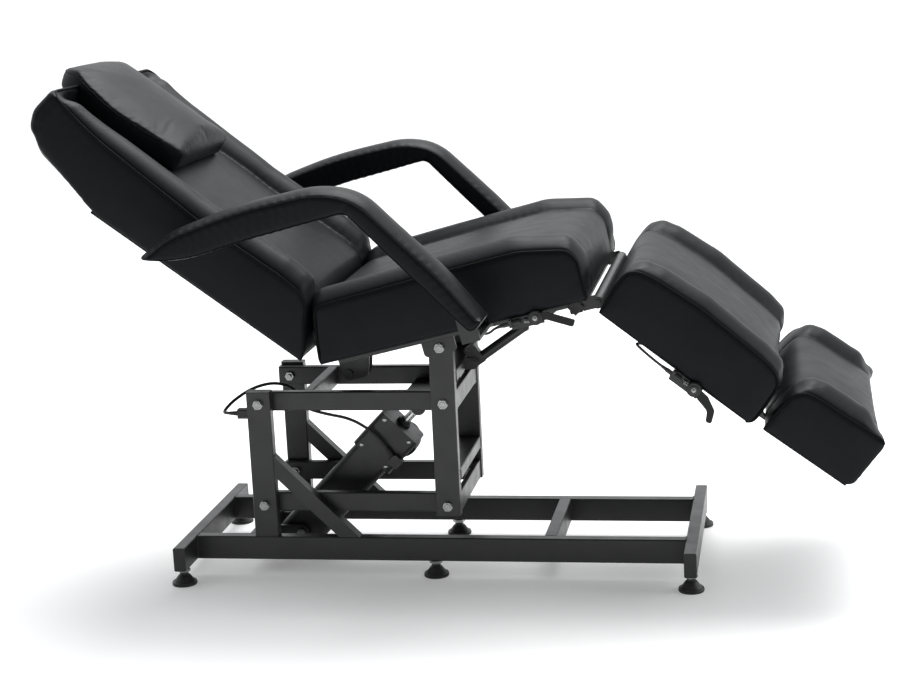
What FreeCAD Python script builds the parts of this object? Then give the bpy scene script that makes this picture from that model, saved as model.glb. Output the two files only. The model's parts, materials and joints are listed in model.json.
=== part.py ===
import FreeCAD, Part
import math
import os

# Facial treatment bed: a floor frame, a parallelogram lift with an electric actuator, and a
# padded seat that carries the backrest, leg rest, foot rest and armrests.
# Millimetres. +X points to the foot end, +Y to the sitter's left and +Z up; the floor is Z = 0.
# The model is drawn about the middle of the floor frame and moved by frame_shift at the end, so
# that the origin lies under the centre of the whole bed.

V = FreeCAD.Vector
X_AXIS, Y_AXIS, Z_AXIS = 0, 1, 2
SIDES = {"right": -1, "left": 1}

# Steel stock
tube_width = 50.0
tube_depth = 25.0
arm_height = 40.0
arm_thickness = 20.0
wall = 2.0
corner_radius = 3.0
fillet_steel = 2.0
vent_radius = 3.0
running_clearance = 0.05

# Floor frame
frame_length = 1067.0
frame_half_width = 233.0
plug_thickness = 3.0
rail_inner = 127.0
rail_outer = rail_inner + tube_depth
rail_bottom = 34.0
rail_top = rail_bottom + tube_width
middle_bar_x = 221.0
actuator_bar_x = -400.0
end_foot_x = frame_length / 2 - tube_depth / 2
end_foot_y = 212.0
middle_foot_x = -4.0
rail_centre = (rail_inner + rail_outer) / 2

# Parallelogram lift
rear_pivot_x = -356.0
arm_length = 385.0
front_pivot_x = rear_pivot_x + arm_length
upper_pivot_z = 366.0
lower_pivot_z = 152.0
arm_inner = 106.0
arm_outer = arm_inner + arm_thickness
arm_rear_overhang = 25.0
arm_front_overhang = 22.0
front_bar_thickness = 12.0
rear_bar_x = -270.0
upright_top = 388.0
cap_thickness = 4.0
head_bottom = 131.0
head_top = 498.0
head_upper_bar_z = 405.0
head_lower_bar_z = 199.0
bolt_radius = 5.0
washer_radius = 10.0
washer_thickness = 2.0
head_flats = 17.0
head_height = 6.0
nut_height = 8.0
open_pivot_radius = 5.5

# Actuator, in its own frame: along runs from the lower pin to the upper one
actuator_x, actuator_z = -310.0, 60.0
actuator_slope = 45.5
actuator_length = 371.0
actuator_pin_radius = 6.0
housing_end = 225.0
gearbox_end = 318.0
rod_radius = 9.0
rod_start = 100.0
spindle_radius = 5.0
eye_play = 6.0

# Padded sections: where each local frame stands and how it slopes
seat_x, seat_z, seat_slope = 28.5, 483.0, 13.0
back_x, back_z, back_slope = -220.0, 487.0, -36.6
leg_x, leg_z, leg_slope = 366.0, 585.0, -38.0
foot_x, foot_z, foot_slope = 669.0, 352.0, -36.0
cushion_half = 300.0
panel_half = 292.0
bolster_width = 95.0
hinge_pin_radius = 5.0
barrel_radius = 8.0

# Gas struts
tilt_strut_foot = (70.0, 418.0)
tilt_strut_top = (208.0, 512.9)
back_strut_foot = (-205.0, 432.0)
back_strut_top = (-457.9, 636.3)
strut_radius = 10.5
strut_bore = 8.6
strut_rod_radius = 5.0
tilt_eye_play = 1.0
back_eye_play = 3.6

# Cables
motor_cable_diameter = 6.5
release_cable_diameter = 5.0

# Origin under the middle of the whole bed
frame_shift = -77.47

parts = {}
motor_route = [
    (-103, -50, 228), (-120, -50, 258), (-150, -52, 288), (-190, -54, 312), (-240, -57, 322),
    (-284, -60, 336), (-296, -62, 376), (-338, -64, 393), (-386, -72, 384), (-424, -92, 362),
    (-440, -122, 344), (-428, -140, 345), (-402, -140, 345),
]
tilt_cable_route = [
    (181.64, -303, 556.604), (168, -303, 553.455), (155, -299, 542), (141, -276, 535),
    (133, -240, 528), (127, -200, 519), (119, -160, 510), (104, -118, 499), (84, -74, 476),
    (60, -46, 446), (60, -11, 446),
]
leg_cable_route = [
    (488.566, -303, 469.403), (474.382, -303, 480.485), (455, -302, 497), (436, -292, 512),
    (430, -270, 513), (438, -250, 508), (452.9, -236, 501.3), (452.9, -214, 501.3),
]


def span(side, inner, outer):
    """The Y range between two distances from the centre plane, on one side of the bed."""
    return (inner, outer) if side > 0 else (-outer, -inner)


def box(x, y, z):
    return Part.makeBox(x[1] - x[0], y[1] - y[0], z[1] - z[0], V(x[0], y[0], z[0]))


def bar(x, y, z, axis, radius=fillet_steel):
    """A solid bar with its long edges rounded."""
    shape = box(x, y, z)
    along = V(*[float(i == axis) for i in range(3)])
    edges = [e for e in shape.Edges if abs(e.tangentAt(e.FirstParameter).dot(along)) > 0.99]
    return shape.makeFillet(radius, edges)


def tube(x, y, z, axis, closed=False):
    """A rectangular steel tube. A closed one has welded ends and one vent hole underneath."""
    inside = []
    for i, (low, high) in enumerate((x, y, z)):
        inset = -1.0 if i == axis and not closed else wall
        inside.append((low + inset, high - inset))
    shape = bar(x, y, z, axis, corner_radius).cut(box(*inside))
    if closed:
        vent_x = (inside[0][0] + inside[0][1]) / 2 + 4 * arm_height * (axis == X_AXIS)
        vent_y = (y[0] + y[1]) / 2
        vent = Part.makeCylinder(vent_radius, 2 * wall, V(vent_x, vent_y, z[0] - wall / 2))
        shape = shape.cut(vent)
    return shape


def rod_y(x, z, y, radius):
    """A round bar along Y between two Y values."""
    return Part.makeCylinder(radius, y[1] - y[0], V(x, y[0], z), V(0, 1, 0))


def rod_x(start, end, radius, y=0.0, z=0.0):
    return Part.makeCylinder(radius, end - start, V(start, y, z), V(1, 0, 0))


def hexagon_y(x, z, y, flats):
    """A hexagonal head or nut along Y."""
    reach = flats / math.sqrt(3)
    corners = [V(x + reach * math.cos(k * math.pi / 3), y[0], z + reach * math.sin(k * math.pi / 3))
               for k in range(7)]
    return Part.Face(Part.makePolygon(corners)).extrude(V(0, y[1] - y[0], 0))


def rounded_edges(points, radii, closed):
    """Straight runs through the points, joined by tangent arcs of the given radii."""
    count = len(points)
    corners = range(count) if closed else range(1, count - 1)
    entries, exits, arcs = {}, {}, {}
    for i in corners:
        if radii[i] <= 0:
            entries[i] = exits[i] = points[i]
            continue
        back = (points[i - 1] - points[i]).normalize()
        ahead = (points[(i + 1) % count] - points[i]).normalize()
        half_turn = (math.pi - back.getAngle(ahead)) / 2
        reach = radii[i] * math.tan(half_turn)
        middle = (back + ahead).normalize()
        sag = radii[i] / math.cos(half_turn) - radii[i]
        entries[i] = points[i] + back * reach
        exits[i] = points[i] + ahead * reach
        arcs[i] = Part.Arc(entries[i], points[i] + middle * sag, exits[i]).toShape()
    if not closed:
        entries[count - 1] = points[-1]
        exits[0] = points[0]
    edges = []
    for i in range(count if closed else count - 1):
        following = (i + 1) % count
        if i in arcs:
            edges.append(arcs[i])
        edges.append(Part.LineSegment(exits[i], entries[following]).toShape())
    return edges


def prism_y(outline, y):
    """An outline of (x, z) or (x, z, corner radius) points, extruded along Y."""
    points = [V(p[0], y[0], p[1]) for p in outline]
    radii = [p[2] if len(p) > 2 else 0.0 for p in outline]
    face = Part.Face(Part.Wire(rounded_edges(points, radii, True)))
    return face.extrude(V(0, y[1] - y[0], 0))


def prism_z(outline, z):
    """An outline of (x, y) or (x, y, corner radius) points, extruded along Z."""
    points = [V(p[0], p[1], z[0]) for p in outline]
    radii = [p[2] if len(p) > 2 else 0.0 for p in outline]
    face = Part.Face(Part.Wire(rounded_edges(points, radii, True)))
    return face.extrude(V(0, 0, z[1] - z[0]))


def slot_y(x, z, y, radius, play):
    """A stadium along X, extruded along Y."""
    ends = [rod_y(x - play, z, y, radius), rod_y(x + play, z, y, radius)]
    return ends[0].fuse([ends[1], box((x - play, x + play), y, (z - radius, z + radius))])


def placed(shape, x, z, slope):
    """A shape drawn in a local frame, stood at (x, z) with its X axis rising by slope degrees."""
    shape = shape.copy()
    shape.rotate(V(0, 0, 0), V(0, 1, 0), -slope)
    shape.translate(V(x, 0, z))
    return shape


def on_seat(shape):
    return placed(shape, seat_x, seat_z, seat_slope)


def on_back(shape):
    """The backrest's local X runs down the slope, so its head end is at negative X."""
    return placed(shape, back_x, back_z, back_slope)


def on_leg(shape):
    return placed(shape, leg_x, leg_z, leg_slope)


def on_foot(shape):
    return placed(shape, foot_x, foot_z, foot_slope)


def local(x, z, frame_x, frame_z, slope):
    """Where a point of the bed lies in a local frame."""
    angle = math.radians(slope)
    dx, dz = x - frame_x, z - frame_z
    return (dx * math.cos(angle) + dz * math.sin(angle), dz * math.cos(angle) - dx * math.sin(angle))


def pivot_bolt(side, x, z, head_at, tip_at, nut_at):
    """A hexagon bolt along Y: washer and head outside head_at, nut on the inner side of nut_at."""
    head_start = head_at + washer_thickness
    pieces = [
        rod_y(x, z, span(side, head_at, head_start), washer_radius),
        hexagon_y(x, z, span(side, head_start, head_start + head_height), head_flats),
        hexagon_y(x, z, span(side, nut_at - nut_height, nut_at), head_flats),
    ]
    return rod_y(x, z, span(side, tip_at, head_start), bolt_radius).fuse(pieces)


def cable(route, diameter, name):
    """A round cable along straight runs and tangent arcs as large as the runs allow."""
    points = [V(*p) for p in route]
    radii = [0.0]
    for before, here, after in zip(points, points[1:], points[2:]):
        turn = (here - before).getAngle(after - here)
        run = min((here - before).Length, (after - here).Length)
        radii.append(0.45 * run / math.tan(turn / 2))
    path = Part.Wire(rounded_edges(points, radii + [0.0], False))
    print(name, "radii", [round(r) for r in radii[1:]], "length", round(path.Length, 1))
    section = Part.Wire(Part.makeCircle(diameter / 2, points[0], points[1] - points[0]))
    solid = Part.Wire(path).makePipeShell([section], True, True)
    expected = math.pi * diameter ** 2 / 4 * path.Length
    print(name, "volume over section times length", round(solid.Volume / expected, 4))
    return solid


def make_floor_frame():
    half = frame_length / 2
    rail_end = half - tube_depth
    rail_z = (rail_bottom, rail_top)
    for name, side in SIDES.items():
        y = span(side, rail_inner, rail_outer)
        rail = tube((-rail_end, rail_end), y, rail_z, X_AXIS)
        hole = stud_hole(middle_foot_x, side * rail_centre)
        parts["base_rail_" + name] = rail.cut(hole)
        make_rear_upright(name, side, y)
    for name, sign in (("head", -1), ("foot", 1)):
        x = (-half, -rail_end) if sign < 0 else (rail_end, half)
        bar_shape = tube(x, (-frame_half_width, frame_half_width), rail_z, Y_AXIS)
        holes = [stud_hole(sign * end_foot_x, s * end_foot_y) for s in SIDES.values()]
        parts["base_crossbar_" + name] = bar_shape.cut(holes)
    across = (-rail_inner, rail_inner)
    parts["base_crossbar_middle"] = tube((middle_bar_x, middle_bar_x + tube_depth), across, rail_z, Y_AXIS)
    make_actuator_crossbar(across, rail_z)


def stud_hole(x, y):
    """The hole in a tube's underside that a foot's screw passes through."""
    radius = bolt_radius + running_clearance
    return Part.makeCylinder(radius, 2 * wall, V(x, y, rail_bottom - wall / 2))


def make_rear_upright(name, side, y):
    x = (rear_pivot_x - tube_width / 2, rear_pivot_x + tube_width / 2)
    upright = tube(x, y, (rail_top, upright_top), Z_AXIS)
    radius = bolt_radius + running_clearance
    holes = [rod_y(rear_pivot_x, z, (y[0] - 1, y[1] + 1), radius) for z in (upper_pivot_z, lower_pivot_z)]
    parts["rear_upright_" + name] = upright.cut(holes)
    brace_rise, brace_foot = 172.0, 43.0
    top = rail_top + brace_rise
    outline = [(x[1], top), (x[1], top - brace_foot), (x[1] + brace_rise - brace_foot, rail_top),
               (x[1] + brace_rise, rail_top)]
    inset = wall * math.sqrt(2)
    past = 10.0
    hollow = [(x[1] - past, top - inset + past), (x[1] - past, top - brace_foot + inset + past),
              (x[1] + brace_rise - brace_foot + inset + past, rail_top - past),
              (x[1] + brace_rise - inset + past, rail_top - past)]
    inside = prism_y(hollow, (y[0] + wall, y[1] - wall))
    parts["base_brace_" + name] = prism_y(outline, y).cut(inside)


def make_actuator_crossbar(across, rail_z):
    """The crossbar at the head end, with two ears that hold the actuator's lower pin."""
    front = actuator_bar_x + tube_depth
    shape = tube((actuator_bar_x, front), across, rail_z, Y_AXIS)
    ear_height = 16.0
    for side in SIDES.values():
        y = span(side, 43.0, 49.0)
        plate = box((front, actuator_x), y, (actuator_z - ear_height, actuator_z + ear_height))
        ear = plate.fuse(rod_y(actuator_x, actuator_z, y, ear_height))
        shape = shape.fuse(ear)
    hole = rod_y(actuator_x, actuator_z, (-60, 60), actuator_pin_radius + running_clearance)
    parts["actuator_crossbar"] = shape.cut(hole)


def make_feet():
    """Six levelling feet: a rubber-faced disc, a cone, a stem and a screw into the frame."""
    places = [(sign * end_foot_x, side * end_foot_y) for sign in (-1, 1) for side in SIDES.values()]
    places += [(middle_foot_x, side * rail_centre) for side in SIDES.values()]
    disc_height, cone_top = 7.0, 20.0
    screw_top = rail_bottom + 18.0
    feet = []
    for x, y in places:
        disc = Part.makeCylinder(25.0, disc_height, V(x, y, 0))
        cone = Part.makeCone(22.0, 12.0, cone_top - disc_height, V(x, y, disc_height))
        stem = Part.makeCylinder(9.0, rail_bottom - cone_top, V(x, y, cone_top))
        screw = Part.makeCylinder(bolt_radius, screw_top - rail_bottom, V(x, y, rail_bottom))
        feet.append(disc.fuse([cone, stem, screw]))
    parts["levelling_feet"] = Part.makeCompound(feet)


def make_plugs():
    """Plastic plugs in the open ends of the two long crossbars and on the rear uprights."""
    plugs = []
    insert = 10.0
    gap = wall + running_clearance
    z = (rail_bottom, rail_top)
    for sign in (-1, 1):
        x = (sign * end_foot_x - tube_depth / 2, sign * end_foot_x + tube_depth / 2)
        for side in SIDES.values():
            y = span(side, frame_half_width, frame_half_width + plug_thickness)
            inner_y = span(side, frame_half_width - insert, frame_half_width)
            plug = bar(x, y, z, Y_AXIS, corner_radius)
            stem = box((x[0] + gap, x[1] - gap), inner_y, (z[0] + gap, z[1] - gap))
            plugs.append(plug.fuse(stem))
    x = (rear_pivot_x - tube_width / 2, rear_pivot_x + tube_width / 2)
    for side in SIDES.values():
        y = span(side, rail_inner, rail_outer)
        cap = bar(x, y, (upright_top, upright_top + cap_thickness), Z_AXIS, corner_radius)
        stem_z = (upright_top - insert / 2, upright_top)
        stem = box((x[0] + gap, x[1] - gap), (y[0] + gap, y[1] - gap), stem_z)
        plugs.append(cap.fuse(stem))
    parts["tube_end_plugs"] = Part.makeCompound(plugs)


def pivot_set(x):
    """The bolts of both pivots at one end of the arms, on both sides, with spacing washers."""
    pieces = []
    for side in SIDES.values():
        for z in (upper_pivot_z, lower_pivot_z):
            bolt = pivot_bolt(side, x, z, rail_outer, arm_inner - 14.0, arm_inner - 0.5)
            spacer = rod_y(x, z, span(side, arm_outer, rail_inner), washer_radius)
            pieces.append(bolt.fuse(spacer))
    return pieces


def make_base_bolts():
    pieces = pivot_set(rear_pivot_x)
    pin = rod_y(actuator_x, actuator_z, (-54.0, 54.0), actuator_pin_radius)
    heads = [rod_y(actuator_x, actuator_z, span(side, 49.5, 54.0), 9.0) for side in SIDES.values()]
    pieces.append(pin.fuse(heads))
    parts["base_pivot_bolts"] = Part.makeCompound(pieces)


def make_arm(side, pivot_z, front_hole):
    """A lifting arm: a closed tube with a welded bush at each end."""
    x = (rear_pivot_x - arm_rear_overhang, front_pivot_x + arm_front_overhang)
    y = span(side, arm_inner, arm_outer)
    z = (pivot_z - arm_height / 2, pivot_z + arm_height / 2)
    shape = tube(x, y, z, X_AXIS, closed=True)
    bush_radius = 8.5
    bushes = [rod_y(pivot_x, pivot_z, y, bush_radius) for pivot_x in (rear_pivot_x, front_pivot_x)]
    through = (y[0] - 1, y[1] + 1)
    bores = [rod_y(rear_pivot_x, pivot_z, through, bolt_radius + running_clearance),
             rod_y(front_pivot_x, pivot_z, through, front_hole)]
    return shape.fuse(bushes).cut(bores)


def make_arms():
    across = (-arm_inner, arm_inner)
    tip = front_pivot_x + arm_front_overhang
    for level, pivot_z in (("upper", upper_pivot_z), ("lower", lower_pivot_z)):
        front_hole = bolt_radius + running_clearance if level == "upper" else open_pivot_radius
        for name, side in SIDES.items():
            parts[level + "_arm_" + name] = make_arm(side, pivot_z, front_hole)
        z = (pivot_z - arm_height / 2, pivot_z + arm_height / 2)
        parts[level + "_arm_front_bar"] = bar((tip - front_bar_thickness, tip), across, z, Y_AXIS)
    z = (upper_pivot_z - arm_height / 2, upper_pivot_z + arm_height / 2)
    parts["upper_arm_rear_crossbar"] = tube((rear_bar_x, rear_bar_x + arm_thickness), across, z, Y_AXIS)
    parts["actuator_top_bracket"] = make_top_bracket(across)


def make_top_bracket(across):
    """The plate between the arms, with two ears and the pin that the actuator pushes."""
    top_x, top_z = actuator_point(actuator_length)
    bottom = upper_pivot_z - arm_height / 2
    plate = bar((top_x - 28, top_x + 24), across, (bottom, bottom + 12), Y_AXIS)
    shape = plate
    for side in SIDES.values():
        y = span(side, 14.0, 20.0)
        ear = box((top_x - 16, top_x + 16), y, (top_z, bottom)).fuse(rod_y(top_x, top_z, y, 16.0))
        head = rod_y(top_x, top_z, span(side, 20.0, 24.0), 9.0)
        shape = shape.fuse([ear, head])
    return shape.fuse(rod_y(top_x, top_z, (-20, 20), actuator_pin_radius)).removeSplitter()


def actuator_point(along, out=0.0):
    angle = math.radians(actuator_slope)
    return (actuator_x + along * math.cos(angle) - out * math.sin(angle),
            actuator_z + along * math.sin(angle) + out * math.cos(angle))


def make_lift_head():
    """The frame at the front of the arms that stays upright and carries the seat."""
    x = (front_pivot_x - tube_width / 2, front_pivot_x + tube_width / 2)
    radius = bolt_radius + running_clearance
    for name, side in SIDES.items():
        y = span(side, rail_inner, rail_outer)
        shape = tube(x, y, (head_bottom, head_top), Z_AXIS, closed=True)
        through = (y[0] - 1, y[1] + 1)
        holes = [rod_y(front_pivot_x, z, through, radius) for z in (upper_pivot_z, lower_pivot_z)]
        holes.append(rod_y(seat_x, seat_z, through, radius))
        parts["front_upright_" + name] = shape.cut(holes)
    across = (-rail_inner, rail_inner)
    lower = (head_lower_bar_z, head_lower_bar_z + tube_depth)
    parts["front_crossbar_lower"] = tube(x, across, lower, Y_AXIS)
    upper = (head_upper_bar_z, head_upper_bar_z + tube_depth)
    bar_shape = tube(x, across, upper, Y_AXIS)
    foot_x_pos, foot_z_pos = tilt_strut_foot
    for side in SIDES.values():
        y = span(side, 12.0, 17.0)
        lug = box((x[1], foot_x_pos), y, (foot_z_pos - 12, foot_z_pos + 12))
        round_end = rod_y(foot_x_pos, foot_z_pos, y, 12.0)
        head = rod_y(foot_x_pos, foot_z_pos, span(side, 17.0, 20.0), 8.0)
        bar_shape = bar_shape.fuse([lug, round_end, head])
    pin = rod_y(foot_x_pos, foot_z_pos, (-17, 17), hinge_pin_radius)
    parts["front_crossbar_upper"] = bar_shape.fuse(pin).removeSplitter()
    pieces = pivot_set(front_pivot_x)
    for side in SIDES.values():
        bolt = pivot_bolt(side, seat_x, seat_z, 158.5, rail_inner - 14.0, rail_inner)
        pieces.append(bolt)
    parts["front_pivot_bolts"] = Part.makeCompound(pieces)


def on_actuator(shape):
    return placed(shape, actuator_x, actuator_z, actuator_slope)


def make_actuator():
    """Housing, gearbox with motor, lead screw and the silver rod with its slotted eye."""
    bore = rod_radius + running_clearance
    housing = bar((-28.0, housing_end), (-40, 40), (-42, 44), X_AXIS, 12.0)
    housing = housing.cut([rod_x(rod_start - 20, housing_end + 1, bore),
                           rod_y(0, 0, (-60, 60), actuator_pin_radius + running_clearance)])
    parts["actuator_housing"] = on_actuator(housing)
    gearbox = bar((housing_end, gearbox_end), (-42, 42), (-50, 50), X_AXIS, 10.0)
    gearbox = gearbox.cut(rod_x(housing_end - 1, gearbox_end + 1, bore))
    motor_along, motor_out, motor_radius = 270.0, -25.0, 34.0
    motor = rod_y(motor_along, motor_out, (41, 92), motor_radius)
    motor_end = rod_y(motor_along, motor_out, (92, 96), motor_radius - 6)
    boss_x, boss_z = local(-97.0, 217.0, actuator_x, actuator_z, actuator_slope)
    boss = box((boss_x - 12, boss_x + 12), (-56, -41), (boss_z - 12, boss_z + 12))
    shape = on_actuator(gearbox.fuse([motor, motor_end]))
    start, following = motor_route[0], motor_route[1]
    lean = math.degrees(math.atan2(start[0] - following[0], following[2] - start[2]))
    boss_cut = placed(box((-30, 30), (-60, -42), (0, 40)), start[0], start[2], lean)
    parts["actuator_motor"] = shape.fuse(on_actuator(boss).cut(boss_cut)).removeSplitter()
    spindle = rod_x(60.0, gearbox_end - 20, spindle_radius)
    parts["actuator_spindle"] = on_actuator(spindle)
    rod = rod_x(rod_start, actuator_length - 10, rod_radius)
    eye = slot_y(actuator_length, 0, (-13, 13), 13.0, eye_play)
    slot = slot_y(actuator_length, 0, (-14, 14), actuator_pin_radius + 0.6, eye_play)
    hollow = rod_x(rod_start - 1, gearbox_end - 10, spindle_radius + running_clearance)
    parts["actuator_rod"] = on_actuator(rod.fuse(eye).cut([slot, hollow]))


def cut_spindle_bore():
    """The lead screw's own seat in the solid end of the housing."""
    seat = on_actuator(rod_x(60.0, rod_start, spindle_radius + running_clearance))
    parts["actuator_housing"] = parts["actuator_housing"].cut(seat)


def strut_line(foot, top):
    """The length of a strut between its pins, and its slope in degrees."""
    dx, dz = top[0] - foot[0], top[1] - foot[1]
    return math.hypot(dx, dz), math.degrees(math.atan2(dz, dx))


def strut_body(foot, top, end, head_outline):
    """A gas strut's cylinder, with its release head and lower eye round the foot pin."""
    start = 18.0
    shape = rod_x(start, end, strut_radius).fuse(prism_y(head_outline, (-11, 11)))
    gland = 8.0
    shape = shape.cut([rod_x(start + 12, end - gland, strut_bore + running_clearance),
                       rod_x(end - gland - 1, end + 1, strut_rod_radius + running_clearance),
                       rod_y(0, 0, (-12, 12), hinge_pin_radius + running_clearance)])
    return placed(shape, foot[0], foot[1], strut_line(foot, top)[1])


def strut_rod(foot, top, piston_at, play):
    """A gas strut's rod with its piston and a wide upper eye, whose play lets the pin wander."""
    length, slope = strut_line(foot, top)
    piston = rod_x(piston_at, piston_at + 8, strut_bore)
    rod = rod_x(piston_at, length - hinge_pin_radius - play, strut_rod_radius)
    opening = hinge_pin_radius + play
    eye = rod_y(length, 0, (-7, 7), opening + 4)
    hole = rod_y(length, 0, (-8, 8), opening)
    return placed(rod.fuse([piston, eye]).cut(hole), foot[0], foot[1], slope)


def make_struts():
    head = [(-4, -11, 4), (24, -11), (24, 34, 4), (-2, 34, 4)]
    parts["tilt_strut_body"] = strut_body(tilt_strut_foot, tilt_strut_top, 136.0, head)
    parts["tilt_strut_rod"] = strut_rod(tilt_strut_foot, tilt_strut_top, 62.0, tilt_eye_play)
    head = [(-10, -11, 6), (24, -11), (24, 11), (-10, 11, 6)]
    parts["back_strut_body"] = strut_body(back_strut_foot, back_strut_top, 225.0, head)
    parts["back_strut_rod"] = strut_rod(back_strut_foot, back_strut_top, 100.0, back_eye_play)


def make_seat_frame():
    rail_y, rail_n = (158.0, 183.0), (20.0, 45.0)
    rear, front = -200.0, 290.0
    plate = [(-34, -14, 10), (34, -14, 10), (34, 45), (-34, 45)]
    for name, side in SIDES.items():
        y = span(side, *rail_y)
        shape = tube((rear, front), y, rail_n, X_AXIS, closed=True)
        pivot_plate = prism_y(plate, span(side, 153.0, 158.0))
        hole = rod_y(0, 0, span(side, 150.0, 160.0), bolt_radius + running_clearance)
        parts["seat_rail_" + name] = on_seat(shape.fuse(pivot_plate.cut(hole)))
    parts["seat_crossbar_rear"] = on_seat(make_rear_seat_bar(rear, rail_n))
    parts["seat_crossbar_front"] = on_seat(make_front_seat_bar(front, rail_n))


def back_hinge_local():
    return local(-200.0, 482.0, seat_x, seat_z, seat_slope)


def leg_hinge_local():
    return local(358.0, 590.0, seat_x, seat_z, seat_slope)


def make_rear_seat_bar(rear, rail_n):
    """The rear crossbar with the backrest's hinge lugs and the clevis of its gas strut."""
    shape = tube((rear, rear + tube_depth), (-153, 153), rail_n, Y_AXIS)
    hinge_s, hinge_n = back_hinge_local()
    for side in SIDES.values():
        for inner, outer in ((88.0, 94.0), (111.0, 117.0)):
            y = span(side, inner, outer)
            lug = prism_y([(rear, rail_n[0]), (rear, rail_n[1]), (rear - 6, rail_n[1]),
                           (hinge_s, hinge_n + barrel_radius), (hinge_s - barrel_radius, hinge_n),
                           (hinge_s - 4, rail_n[0] + 8)], y)
            shape = shape.fuse(lug)
        shape = shape.fuse(rod_y(hinge_s, hinge_n, span(side, 88.0, 120.0), hinge_pin_radius))
    foot_s, foot_n = local(*back_strut_foot, seat_x, seat_z, seat_slope)
    low_n = foot_n - 50.0
    for side in SIDES.values():
        y = span(side, 12.0, 17.0)
        plate = prism_y([(rear, rail_n[0]), (rear + tube_depth, rail_n[0]), (rear + 4, low_n, 16),
                         (foot_s - 10, low_n, 12), (foot_s - 12, foot_n + 12, 8)], y)
        head = rod_y(foot_s, foot_n, span(side, 17.0, 20.0), 8.0)
        spacer_head = rod_y(foot_s + 4, low_n + 16, span(side, 17.0, 23.0), 8.0)
        shape = shape.fuse([plate, head, spacer_head])
    pins = [rod_y(foot_s, foot_n, (-17, 17), hinge_pin_radius),
            rod_y(foot_s + 4, low_n + 16, (-17, 17), hinge_pin_radius)]
    return shape.fuse(pins).removeSplitter()


def make_front_seat_bar(front, rail_n):
    """The front crossbar with the leg rest's hinge brackets and the tilt strut's upper lug."""
    hinge_s, hinge_n = leg_hinge_local()
    shape = tube((front, front + tube_depth), (-262, 262), rail_n, Y_AXIS)
    for side in SIDES.values():
        y = span(side, 250.0, 256.0)
        lug = box((front + tube_depth, hinge_s), y, (rail_n[0], rail_n[1]))
        round_end = rod_y(hinge_s, hinge_n, y, 12.0)
        pin = rod_y(hinge_s, hinge_n, span(side, 238.0, 260.0), actuator_pin_radius)
        shape = shape.fuse([lug, round_end, pin])
    top_s, top_n = local(*tilt_strut_top, seat_x, seat_z, seat_slope)
    for side in SIDES.values():
        y = span(side, 8.0, 13.0)
        arm = prism_y([(front, rail_n[1]), (front, rail_n[0]), (top_s + 10, top_n - 10, 9),
                       (top_s - 10, top_n - 10, 9), (top_s - 10, rail_n[0]), (top_s + 20, rail_n[1])], y)
        shape = shape.fuse(arm)
    return shape.fuse(rod_y(top_s, top_n, (-13, 13), hinge_pin_radius)).removeSplitter()


def cross_section(x, half_width, floor, shoulder, crest, valley):
    """A cushion's section: side bolsters that rise to a crest round a lower middle."""
    inner = half_width - bolster_width
    middle = half_width - bolster_width / 2
    edges = []
    for sign in (-1, 1):
        arc = Part.Arc(V(x, sign * half_width, shoulder), V(x, sign * middle, crest),
                       V(x, sign * inner, valley))
        edges.append(arc.toShape())
        edges.append(Part.LineSegment(V(x, sign * half_width, floor),
                                      V(x, sign * half_width, shoulder)).toShape())
    edges.append(Part.LineSegment(V(x, -inner, valley), V(x, inner, valley)).toShape())
    edges.append(Part.LineSegment(V(x, -half_width, floor), V(x, half_width, floor)).toShape())
    return Part.Face(Part.Wire(Part.__sortEdges__(edges)))


def cushion(profile, half_width, floor, shoulder, crest, valley):
    """A side profile across the bed, met by a section that runs along it."""
    low = min(p[0] for p in profile) - 10
    high = max(p[0] for p in profile) + 10
    body = prism_y(profile, (-half_width, half_width))
    section = cross_section(low, half_width, floor, shoulder, crest, valley).extrude(V(high - low, 0, 0))
    return body.common(section)


def make_seat_pads():
    panel = box((-205, 332), (-panel_half, panel_half), (45, 60))
    parts["seat_panel"] = on_seat(panel)
    top = 200.0
    profile = [(-207, 60), (-185, 158, 14), (-184, top), (290, top), (341, 158, 40), (341, 60, 12)]
    parts["seat_cushion"] = on_seat(cushion(profile, cushion_half, 60.0, 162.0, 184.0, 170.0))


def make_backrest():
    panel = box((-505, -5), (-panel_half, panel_half), (0, 15))
    parts["backrest_panel"] = on_back(panel)
    top = 170.0
    profile = [(-2, 15), (-30, 62, 20), (-86, 122, 30), (-110, top), (-640, top), (-694, 148, 16),
               (-700, 80, 20), (-510, 15)]
    shape = cushion(profile, cushion_half, 15.0, 120.0, 145.0, 121.0)
    parts["backrest_cushion"] = on_back(shape)
    parts["headrest_pillow"] = on_back(make_pillow())
    parts["backrest_brackets"] = on_back(make_back_brackets())


def make_pillow():
    """A deep head pillow: straight across its lower end and round over the head end."""
    base, edge, crown, top = 122.0, 166.0, 194.0, 220.0
    low_end, head_end, past = -434.0, -758.0, 2.0
    half = 170.0
    reach = half + 5
    side = [(low_end - 2, base, 10), (low_end - 6, 186, 30), (-500, 210, 60), (-690, 190, 80),
            (head_end + 2, 154, 14), (head_end + 23, base, 12)]
    plan = [(low_end, 8 - half, 24), (low_end, half - 8, 24), (-600, half + 4, 80),
            (head_end, half - 34, 120), (head_end, 34 - half, 120), (-600, -half - 4, 80)]
    x = head_end - past
    arc = Part.Arc(V(x, -reach, edge), V(x, 0, crown), V(x, reach, edge)).toShape()
    around = Part.makePolygon([V(x, reach, edge), V(x, reach, base), V(x, -reach, base),
                               V(x, -reach, edge)])
    section = Part.Face(Part.Wire([arc] + around.Edges)).extrude(V(low_end + past - x, 0, 0))
    body = prism_y(side, (-reach, reach)).common(prism_z(plan, (base, top)))
    return body.common(section)


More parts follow.
